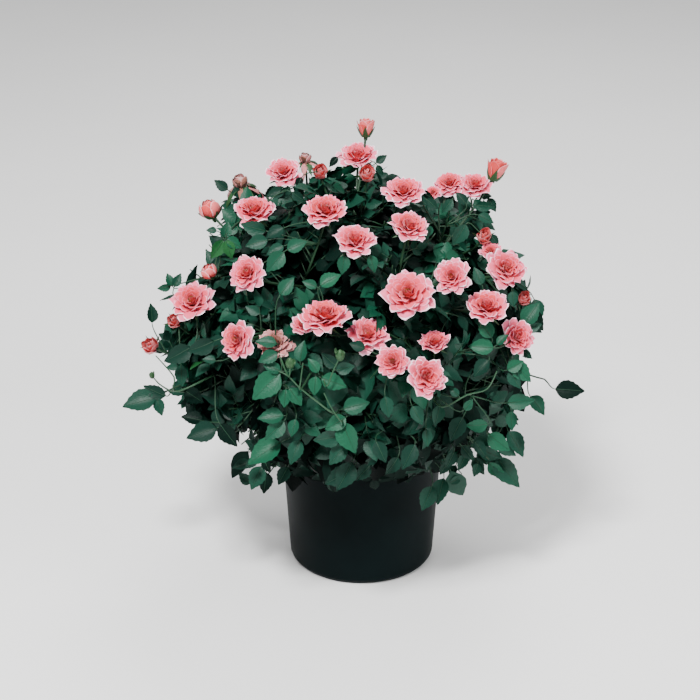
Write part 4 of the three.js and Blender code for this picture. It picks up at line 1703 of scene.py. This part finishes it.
@dataclass
class Flowers:
    """Blooms and buds with their sepals, hips and stamens."""

    masses: list[Mass]
    view: Viewpoint
    petals: int = 60
    bud_petals: int = 16
    fullness: float = 1.06
    set_forward: float = 0.25
    set_back: float = 0.3
    hidden_share: float = 0.98
    hidden_nod: float = 1.0
    green_nod: float = 0.3
    dry_petals: int = 11
    tuft: int = 18

    def __post_init__(self) -> None:
        """Starts the pieces."""
        self.front = Gatherer("bloom_petals_front", PETAL_TINTS)
        self.back = Gatherer("bloom_petals_back", PETAL_TINTS)
        self.closed = Gatherer("bud_petals", BUD_TINTS)
        self.spent = Gatherer("spent_petals", SPENT_TINTS)
        self.sepals = Gatherer("sepals", [SEPAL])
        self.stamens = Gatherer("stamens", [POLLEN])

    def build(self) -> None:
        """Makes every flower and joins them, each kind apart."""
        front = len(FRONT_BLOOMS) + len(FRONT_BUDS)
        for mass in self.masses:
            for shoot in mass.shoots:
                allowed = shoot.seed <= front or not in_open_sky(self.view, shoot.point)
                if shoot.flowering and allowed:
                    self._flower(shoot)
        for row in HIDDEN_BLOOMS:
            self._bloom(self._front_head(row, self.hidden_share, self.hidden_nod))
        for row in GREEN_BUDS:
            self._green_bud(self._front_head(row, Foliage.stem_share, self.green_nod))
        for piece in (self.front, self.back, self.closed, self.spent, self.sepals, self.stamens):
            piece.build("foliage")

    def _flower(self, shoot: Shoot) -> None:
        """Adds the flower on one shoot. The front's flowers nod towards the viewer.

        Args:
            shoot: The shoot that carries it.
        """
        look = LOOKS.get(shoot.seed, Look.FRESH)
        point, facing = shoot.point, shoot.facing
        sight = self.view.toward(point)
        if shoot.kind is Kind.BLOOM:
            radius = shoot.across / 2 * self.fullness
            if shoot.seed <= len(FRONT_BLOOMS):
                share, side, up = FRONT_ATTITUDES[shoot.seed - 1]
                lean = (Vector((side, 0.0, 0.0)) + self.view.upright * up).normalized()
                lean = (lean - sight * lean.dot(sight)).normalized()
                facing = sight * share + lean * math.sqrt(1 - share * share)
                forward = 0.0 if look is Look.SPENT else self.set_forward
                point = point + (sight * forward - lean * (self.set_back * (1 - share))) * radius
            self._bloom(FlowerHead(point, facing, radius, shoot.seed, look))
            return
        form = BUD_FORMS[look]
        if shoot.seed <= len(FRONT_BLOOMS) + len(FRONT_BUDS):
            facing = (facing + sight * form.nod).normalized()
        self._bud(FlowerHead(point, facing, shoot.across / 2 * form.girth, shoot.seed, look), form)

    @staticmethod
    def _set(
        piece: Gatherer, head: FlowerHead, sheet: PetalSheet, tints: int | Sequence[int] = 0
    ) -> None:
        """Adds one petal or sepal to its flower.

        Args:
            piece: The piece that it joins.
            head: The flower's place.
            sheet: Its form.
            tints: The tint of all its faces, or of each.
        """
        piece.add(head.placed(sheet.grid()), sheet.faces(), tints)

    def _bloom(self, head: FlowerHead) -> None:
        """Adds an open double bloom: whorls that stand in its heart and lie flat at its rim.

        Args:
            head: Its place.
        """
        spent = head.look is Look.SPENT
        piece = self.spent if spent else self.front if head.point.y < 0 else self.back
        most = len(piece.finishes) - 1
        opened = 0.88 + 0.2 * seeded(head.seed, 50) + 0.2 * spent
        colour = 0.9 * (seeded(head.seed, 53) - 0.5)
        for i in range(self.petals):
            s = i / (self.petals - 1)
            vary = seeded(head.seed, i, 51)
            sheet = PetalSheet(
                base=0.03 + 0.07 * s,
                length=(0.36 + 0.68 * s**0.8) * (0.86 + 0.22 * vary),
                half_width=0.17 + 0.2 * s**0.8,
                lean_foot=lerp(4, 56, s**0.8) * opened,
                lean_tip=lerp(-24, 90, s**0.75) * opened + 34 * (vary - 0.5),
                foot_height=-0.02 - 0.24 * s,
                turn=i * GOLDEN_TURN + 0.3 * (seeded(head.seed, i, 52) - 0.5),
                roll=0.03 + 0.13 * s,
                curl=lerp(10, 75, s) * (0.5 + vary),
                ruffle=0.04 + 0.045 * s,
                point=0.02 + 0.13 * s * seeded(head.seed, i, 54),
                shoulder=0.4 - 0.1 * s,
                phase=6 * vary,
            )
            if spent:
                tints = sheet.tints(1.6 * s + vary - 0.3, 0.7, 0.7, most)
            else:
                heart = 0.1 + colour + 2.9 * s**2.4 + 0.8 * (vary - 0.5)
                tints = sheet.tints(heart, 0.9 + 0.6 * s, 1.7 + 0.9 * s, most)
            self._set(piece, head, sheet, tints)
        self._hip(head, -0.24, 0.85)
        self._sepals(head, 0.1, 0.62, (84, 130), -0.26, 0.13)
        self._stamens(head)

    def _bud(self, head: FlowerHead, form: BudForm) -> None:
        """Adds a bud, its petals wound round one another. Once it is spent, its sepals hang.

        Args:
            head: Its place.
            form: Its form.
        """
        spent = head.look is Look.SPENT
        piece = self.spent if spent else self.closed
        most = len(piece.finishes) - 1
        for i in range(self.bud_petals):
            s = i / (self.bud_petals - 1)
            vary = seeded(head.seed, i, 61)
            sheet = PetalSheet(
                base=lerp(*form.base, s),
                length=lerp(*form.length, s) * (0.95 + 0.1 * vary),
                half_width=lerp(0.45, 0.8, s),
                lean_foot=lerp(*form.lean_foot, s),
                lean_tip=lerp(*form.lean_tip, s) + 20 * spent * (vary - 0.5),
                foot_height=-1.0,
                turn=i * GOLDEN_TURN,
                roll=0.14 * s,
                curl=form.curl * s,
                ruffle=0.05 + 0.06 * spent,
                shoulder=0.24,
                phase=5 * vary,
            )
            foot_tint = 0.8 if head.look is Look.FRESH else 0.3
            heart = 2.2 * vary if spent else foot_tint + 0.9 * s + 0.8 * (vary - 0.5)
            self._set(piece, head, sheet, sheet.tints(heart, 0.6, 1.0, most))
        self._hip(head, -1.0, 1.5)
        if spent:
            self._hanging(head)
        else:
            self._sepals(head, form.base[1] + 0.08, 1.5, (form.lean_foot[1] + 5, 10), -1.02, 0.42)

    def _hanging(self, head: FlowerHead) -> None:
        """Adds a spent bud's dry petals and sepals, which hang round its foot.

        Args:
            head: The bud's place.
        """
        for i in range(self.dry_petals):
            vary = seeded(head.seed, i, 64)
            sheet = PetalSheet(
                base=0.35,
                length=1.7 + 1.6 * vary,
                half_width=0.34 + 0.14 * vary,
                lean_foot=95,
                lean_tip=176,
                foot_height=-0.8,
                turn=i * GOLDEN_TURN,
                roll=0.2,
                ruffle=0.1,
                shoulder=0.6,
                phase=5 * vary,
                **NARROW,
            )
            if i % 2:
                self._set(self.sepals, head, sheet)
            else:
                self._set(self.spent, head, sheet, sheet.tints(2 * vary, 0.3, 0.3, 2))

    def _front_head(self, row: Row, share: float, nod: float) -> FlowerHead:
        """Where a further flower of the front stands.

        Args:
            row: Its row.
            share: How far out it stands, as a share of the crown's radius.
            nod: How far it nods towards the viewer.

        Returns:
            Its place.
        """
        side, up, across = row
        point, _ = Crown().on_front(self.view, side, up, share)
        facing = (UP + self.view.toward(point) * nod).normalized()
        return FlowerHead(point, facing, across / 2, round(side), Look.FRESH)

    def _green_bud(self, head: FlowerHead) -> None:
        """Adds a small bud that is still shut in its sepals.

        Args:
            head: Its place.
        """
        self._sepals(head, 0.1, 2.9, (66, -56), -1.0, 0.75)
        heights = (-1.5, -1.05, -0.35, 0.35, 0.95, 1.35)
        run = [head.point + head.facing * (head.radius * z) for z in heights]
        self.sepals.tube(run, [head.radius * r for r in (0.2, 0.68, 0.96, 0.88, 0.5, 0.1)], 10)

    def _hip(self, head: FlowerHead, foot: float, size: float) -> None:
        """Adds the swelling under a flower.

        Args:
            head: The flower's place.
            foot: Where it meets the petals, in shares of the flower's radius.
            size: Its size, in fifths of the flower's radius.
        """
        reach = head.radius * size
        drops = (0.34, 0.26, 0.14, 0.03, -0.04)
        run = [head.point + head.facing * (head.radius * foot - reach * z) for z in drops]
        self.sepals.tube(run, [reach * r for r in (0.05, 0.12, 0.16, 0.15, 0.1)], 8)

    def _sepals(
        self, head: FlowerHead, base: float, length: float, lean: tuple[float, float], foot: float,
        half_width: float,
    ) -> None:
        """Adds five sepals.

        Args:
            head: The flower's place.
            base: How far out their feet are, in shares of the flower's radius, as are the others.
            length: Their length.
            lean: How far they lean out at the foot and at the tip, in degrees.
            foot: The height of their feet.
            half_width: Half their width.
        """
        for i in range(5):
            vary = seeded(head.seed, i, 70)
            sheet = PetalSheet(
                base=base,
                length=length * (0.85 + 0.3 * vary),
                half_width=half_width,
                lean_foot=lean[0],
                lean_tip=lean[1] + 24 * (vary - 0.5),
                foot_height=foot,
                turn=i * 2 * math.pi / 5 + seeded(head.seed, 71) * 6,
                shoulder=0.75,
                point=0.2,
                **NARROW,
            )
            self._set(self.sepals, head, sheet)

    def _stamens(self, head: FlowerHead) -> None:
        """Adds the tuft of stamens in a bloom's heart.

        Args:
            head: The bloom's place.
        """
        side, up = across_pair(head.facing)
        radius = head.radius
        for i in range(self.tuft):
            turn = i * GOLDEN_TURN
            out = side * math.cos(turn) + up * math.sin(turn)
            far = 0.02 + 0.1 * math.sqrt(i / self.tuft)
            high = 0.22 + 0.06 * seeded(i, 3)
            foot = head.point + out * (radius * far * 0.4)
            tip = head.point + out * (radius * far) + head.facing * (radius * high)
            knob = tip + head.facing * (radius * 0.04)
            self.stamens.tube([foot, tip, knob], [radius * r for r in (0.008, 0.008, 0.024)], 3)


# ---------------------------------------------------------------- modelling by hand


class Bench:
    """The edit-mode steps that the turned pieces share."""

    @staticmethod
    def clear() -> None:
        """Leaves edit mode and deselects everything."""
        if bpy.context.object and bpy.context.object.mode != "OBJECT":
            bpy.ops.object.mode_set(mode="OBJECT")
        bpy.ops.object.select_all(action="DESELECT")

    @staticmethod
    def hold(piece: bpy.types.Object) -> None:
        """Makes a piece the only one selected, and the active one.

        Args:
            piece: The piece.
        """
        Bench.clear()
        bpy.context.view_layer.objects.active = piece
        piece.select_set(True)

    @staticmethod
    def turn_profile(
        name: str, profile: Sequence[tuple[float, float]], sides: int
    ) -> bpy.types.Object:
        """Builds a round solid by extruding a ring along a profile and closing both ends.

        Args:
            name: The piece's name.
            profile: Radius and height of each ring in millimetres, in order along the wall.
            sides: How many sides it has.

        Returns:
            The solid, with its place in its mesh.
        """
        Bench.clear()
        radius, height = profile[0]
        bpy.ops.mesh.primitive_circle_add(
            vertices=sides, radius=radius * MM, fill_type="NGON", location=(0, 0, height * MM)
        )
        piece = bpy.context.object
        piece.name = name
        bpy.ops.object.transform_apply(location=True, rotation=True, scale=True)
        bpy.ops.object.mode_set(mode="EDIT")
        bpy.ops.mesh.select_mode(type="FACE")
        bpy.ops.mesh.select_all(action="SELECT")
        for next_radius, next_height in profile[1:]:
            bpy.ops.mesh.extrude_region_move(
                TRANSFORM_OT_translate={"value": (0, 0, (next_height - height) * MM)}
            )
            scale = next_radius / radius
            level = (0, 0, next_height * MM)
            bpy.ops.transform.resize(value=(scale, scale, 1), center_override=level)
            radius, height = next_radius, next_height
        bpy.ops.mesh.select_all(action="SELECT")
        bpy.ops.mesh.normals_make_consistent(inside=False)
        bpy.ops.object.mode_set(mode="OBJECT")
        return piece

    @staticmethod
    def apply(piece: bpy.types.Object, kind: str, **settings: object) -> None:
        """Adds a modifier, sets it and applies it.

        Args:
            piece: The piece.
            kind: Blender's name for the modifier.
            **settings: The modifier's values.
        """
        Bench.hold(piece)
        modifier = piece.modifiers.new(kind.lower(), kind)
        for key, value in settings.items():
            setattr(modifier, key, value)
        bpy.ops.object.modifier_apply(modifier=modifier.name)

    @staticmethod
    def finish(
        piece: bpy.types.Object, degrees: float, finish: GrainedFinish, slot: str, node: str
    ) -> None:
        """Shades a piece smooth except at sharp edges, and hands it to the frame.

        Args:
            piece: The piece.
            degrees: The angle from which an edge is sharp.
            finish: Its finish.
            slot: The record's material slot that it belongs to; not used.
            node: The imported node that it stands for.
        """
        Bench.hold(piece)
        bpy.ops.object.shade_smooth_by_angle(angle=math.radians(degrees))
        piece.data.materials.clear()
        piece.data.materials.append(finish.make())
        hand_over(piece, [node])

    @staticmethod
    def cloud(name: str, size: float, depth: int) -> bpy.types.Texture:
        """A cloudy relief pattern.

        Args:
            name: Its name.
            size: The size of its largest lumps, in millimetres.
            depth: How many finer layers it has.

        Returns:
            The pattern.
        """
        texture = bpy.data.textures.new(name, "CLOUDS")
        texture.noise_scale = size * MM
        texture.noise_depth = depth
        return texture


@dataclass
class Pot:
    """The black nursery pot: a tapered wall, a stiff band at its rim and a rounded foot."""

    base_radius: float = 69.0
    foot_radius: float = 74.0
    foot_height: float = 8.0
    body_top_radius: float = 82.5
    band_radius: float = 86.5
    band_height: float = 18.0
    height: float = 160.0
    wall: float = 1.8
    floor: float = 2.6
    hole_radius: float = 5.0
    hole_circle: float = 46.0
    holes: int = 5
    hole_sides: int = 32
    drill_length: float = 12.0
    sides: int = 128
    foot_rings: int = 6
    body_rings: int = 6
    foot_flat: float = 1.5
    rim_lip: float = 0.7

    def build(self) -> None:
        """Models the pot and its drainage holes."""
        pot = Bench.turn_profile("nursery_pot", self._profile(), self.sides)
        for i in range(self.holes):
            turn = 2 * math.pi * i / self.holes + math.pi / 2
            across, back = self.hole_circle * math.cos(turn), self.hole_circle * math.sin(turn)
            Bench.clear()
            bpy.ops.mesh.primitive_cylinder_add(
                vertices=self.hole_sides,
                radius=self.hole_radius * MM,
                depth=self.drill_length * MM,
                location=(across * MM, back * MM, 0),
            )
            drill = bpy.context.object
            Bench.apply(pot, "BOOLEAN", operation="DIFFERENCE", object=drill)
            bpy.data.objects.remove(drill)
        Bench.finish(pot, 32, BLACK_PLASTIC, "pot_plastic", "pot")

    def _profile(self) -> list[tuple[float, float]]:
        """The wall's rings, from the underside out, up and over the rim to the inner floor.

        Returns:
            The radius and height of each ring.
        """
        band_foot = self.height - self.band_height
        flat = self.base_radius - self.foot_flat
        out = self.foot_radius - self.base_radius + self.foot_flat
        rings = [(flat, 0.0)]
        for i in range(1, self.foot_rings + 1):
            bend = math.pi / 2 * i / self.foot_rings
            rings.append((flat + out * math.sin(bend), self.foot_height * (1 - math.cos(bend))))
        for i in range(1, self.body_rings + 1):
            t = i / self.body_rings
            radius = lerp(self.foot_radius, self.body_top_radius, t)
            rings.append((radius, lerp(self.foot_height, band_foot, t)))
        rings += [
            (self.band_radius - 0.8, band_foot + 0.3),
            (self.band_radius, band_foot + 1.4),
            (self.band_radius, self.height - 4.5),
            (self.band_radius + self.rim_lip, self.height - 3.6),
            (self.band_radius + self.rim_lip, self.height - 0.7),
            (self.band_radius, self.height),
            (self.band_radius - self.wall + 0.5, self.height),
            (self.band_radius - self.wall, self.height - 0.6),
            (self.band_radius - self.wall, band_foot + 3),
            (self.body_top_radius - self.wall, band_foot + 1),
            (self.foot_radius - self.wall, self.foot_height),
            (self.base_radius - self.wall, self.floor),
        ]
        return rings


@dataclass
class PottingMix:
    """Damp peat that fills the pot, crumbly on top, with bits of bark."""

    pot: Pot
    below_rim: float = 15.0
    lumps: float = 3.0
    crumbs: int = 700
    sides: int = 48
    surface_rings: int = 9
    gap: float = 1.0

    @property
    def top(self) -> float:
        """The height of the surface."""
        return self.pot.height - self.below_rim

    def build(self) -> None:
        """Models the mix and strews its crumbs."""
        radius = self.pot.body_top_radius - self.pot.wall - self.gap - 0.2
        foot = self.pot.foot_radius - self.pot.wall - self.gap
        profile = [
            (foot - 4, self.pot.floor + 0.5),
            (foot, self.pot.foot_height),
            (radius, self.top - 4),
            (radius - 1, self.top - 2.5),
        ]
        for i in range(1, self.surface_rings + 1):
            profile.append((radius * (1 - i / self.surface_rings) + 1, self.top - 2.2 + 0.2 * i))
        mix = Bench.turn_profile("potting_mix", profile, self.sides)
        Bench.apply(mix, "SUBSURF", subdivision_type="SIMPLE", levels=2, render_levels=2)
        Bench.apply(
            mix, "DISPLACE", texture=Bench.cloud("peat_lumps", 7, 3), strength=self.lumps * MM,
            mid_level=0.7, direction="Z", texture_coords="LOCAL",
        )
        Bench.finish(mix, 50, PEAT, "potting_mix", "potting_soil")
        self._strew(radius - 3)

    def _strew(self, radius: float) -> None:
        """Strews bits of bark over the surface.

        Args:
            radius: How far out they lie.
        """
        crumbs = Gatherer("bark_crumbs", [STUMP_BARK])
        corners = np.array([(x, y, z) for x in (-1, 1) for y in (-1, 1) for z in (-1, 1)], float)
        faces = [(0, 1, 3, 2), (4, 6, 7, 5), (0, 4, 5, 1), (2, 3, 7, 6), (0, 2, 6, 4), (1, 5, 7, 3)]
        for i in range(self.crumbs):
            far = radius * math.sqrt((i + 0.5) / self.crumbs)
            turn = i * GOLDEN_TURN
            size = 0.7 + 1.8 * seeded(i, 1) ** 2
            tumbled = Matrix.Rotation(seeded(i, 2) * 6, 3, "Z")
            tumbled = tumbled @ Matrix.Rotation(seeded(i, 3), 3, "X")
            jagged = corners * (size * (0.7 + 0.6 * seeded(i, 4)), size, size * 0.5)
            uneven = [[seeded(i, k, a) - 0.5 for a in range(3)] for k in range(8)]
            jagged *= 1 + 0.5 * np.array(uneven)
            place = np.array([far * math.cos(turn), far * math.sin(turn), self.top - 1.6])
            crumbs.add(jagged @ np.array(tumbled).T + place, faces)
        crumbs.build("potting_mix", smooth=False)


@dataclass
class Stems:
    """The woody knuckle on the soil, and the canes that rise from it."""

    rule: GrowthRule
    masses: list[Mass]
    ground: float = 145.3
    flare_radius: float = 20.0
    neck_radius: float = 12.5
    neck_height: float = 9.0
    cane_foot: float = 4.0
    cane_tip: float = 3.2
    cane_rings: int = 26
    cane_sides: int = 12
    cane_node: float = 0.45
    ridge: float = 0.32
    burr: float = 0.22
    prickles: int = 9

    def build(self) -> None:
        """Models the knuckle, the canes and their prickles."""
        self._knuckle()
        canes = Gatherer("canes", [CANE_BARK])
        prickles = Gatherer("prickles", [PRICKLE])
        for number, mass in enumerate(self.masses):
            self._cane(canes, mass, number)
            for i in range(self.prickles):
                self._prickle(prickles, mass, number, i)
        canes.build("bark", [f"cane_{mass.name}" for mass in self.masses])
        prickles.build("bark")

    def _knuckle(self) -> None:
        """Models the knuckle, with the ridges and lumps of old bark."""
        radius = self.rule.knuckle_radius
        profile = [
            (self.flare_radius, self.ground),
            (self.flare_radius - 5, self.ground + 3),
            (self.neck_radius, self.ground + self.neck_height),
        ]
        for rise in range(-20, 90, 10):
            angle = math.radians(rise)
            high = self.rule.knuckle.z + radius * math.sin(angle)
            profile.append((radius * math.cos(angle), high))
        knuckle = Bench.turn_profile("main_stem_knuckle", profile, 32)
        Bench.apply(knuckle, "SUBSURF", levels=2, render_levels=2)
        Bench.apply(
            knuckle, "DISPLACE", texture=Bench.cloud("bark_ridges", 6, 4), strength=3.2 * MM,
            mid_level=0.6, texture_coords="LOCAL",
        )
        Bench.finish(knuckle, 60, STUMP_BARK, "bark", "main_stem")

    def _cane(self, canes: Gatherer, mass: Mass, number: int) -> None:
        """Adds a cane with its nodes, ribs and burrs.

        Args:
            canes: The piece that it joins.
            mass: The mass that it carries.
            number: The mass's number.
        """
        steps, sides = self.cane_rings, self.cane_sides
        run = mass.path.trace(steps)
        run[0] = self.rule.knuckle + (run[0] - self.rule.knuckle) * 0.72
        radii = []
        for i in range(steps + 1):
            node = math.exp(-(((i + number) % 6 - 3) ** 2) / 0.8)
            radii.append(lerp(self.cane_foot, self.cane_tip, i / steps) + self.cane_node * node)
        canes.tube(run, radii, sides)
        points = canes.points[-1]
        middles = np.repeat(np.array([p[:] for p in run]), sides, axis=0)
        for i in range(len(points)):
            ridge = self.ridge * (seeded(i % sides, number, 1) - 0.5)
            ridge += self.burr * (seeded(i, number, 2) - 0.5)
            points[i] += (points[i] - middles[i]) * ridge * 0.5

    def _prickle(self, prickles: Gatherer, mass: Mass, number: int, i: int) -> None:
        """Adds one hooked prickle to a cane.

        Args:
            prickles: The piece that it joins.
            mass: The cane's mass.
            number: The mass's number.
            i: The prickle's number.
        """
        t = 0.12 + 0.84 * (i + seeded(number, i)) / self.prickles
        along = mass.path.along(t)
        out = turned(across_pair(along)[0], along, 360 * seeded(number, i, 1))
        foot = mass.path.at(t) + out * (self.cane_tip * 0.8)
        tip = foot + out * 4.2 - along * 1.6
        prickles.tube([foot, foot.lerp(tip, 0.5) + along * 0.5, tip], [1.5, 0.75, 0.08], 5)


# ---------------------------------------------------------------- studio


@dataclass
class Studio:
    """A pale floor, soft light and the raised front camera."""

    view: Viewpoint
    sensor: float = 36.0
    farthest: float = 100.0
    floor_size: float = 12.0
    sky_strength: float = 0.42

    def build(self) -> None:
        """Sets the floor, the sky, the lamps and the camera."""
        Bench.clear()
        bpy.ops.mesh.primitive_plane_add(size=self.floor_size, location=(0, 0, 0))
        floor = bpy.context.object
        floor.name = "studio_floor"
        floor.data.materials.append(FLOOR_PAINT.make())

        world = bpy.data.worlds.new("studio_sky")
        world.use_nodes = True
        sky = world.node_tree.nodes["Background"].inputs
        sky["Color"].default_value = (1.0, 1.0, 1.0, 1.0)
        sky["Strength"].default_value = self.sky_strength
        bpy.context.scene.world = world

        self._lamp("key_light", Vector((-0.5, -1.3, 2.1)), 0.5, 105.0)
        self._lamp("side_light", Vector((1.5, -1.1, 1.3)), 0.9, 20.0)
        self._lamp("back_light", Vector((0.3, 1.2, 2.0)), 1.2, 30.0)
        self._camera()

    def _lamp(self, name: str, place: Vector, size: float, power: float) -> None:
        """Adds a soft lamp that faces the bush.

        Args:
            name: Its name.
            place: Where it stands, in metres.
            size: Its width, in metres.
            power: Its power, in watts.
        """
        data = bpy.data.lights.new(name, "AREA")
        data.shape = "DISK"
        data.size = size
        data.energy = power
        lamp = bpy.data.objects.new(name, data)
        lamp.location = place
        lamp.rotation_euler = (self.view.aim * MM - place).to_track_quat("-Z", "Y").to_euler()
        bpy.context.scene.collection.objects.link(lamp)

    def _camera(self) -> None:
        """Adds the camera."""
        data = bpy.data.cameras.new("front_camera")
        data.sensor_width = self.sensor
        data.lens = self.sensor * self.view.away / self.view.frame_width
        data.clip_end = self.farthest
        camera = bpy.data.objects.new("front_camera", data)
        camera.location = self.view.eye * MM
        camera.rotation_euler = self.view.ahead.to_track_quat("-Z", "Y").to_euler()
        bpy.context.scene.collection.objects.link(camera)
        bpy.context.scene.camera = camera


def main() -> None:
    """Builds every sub-assembly in order."""
    logging.basicConfig(level=logging.INFO, format="%(name)s %(message)s")
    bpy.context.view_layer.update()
    rule = GrowthRule()
    Studio(rule.view).build()
    masses = rule.grow()
    pot = Pot()
    pot.build()
    PottingMix(pot).build()
    Stems(rule, masses).build()
    Foliage(rule, masses).build()
    Flowers(masses, rule.view).build()


if __name__ == "__main__":
    main()
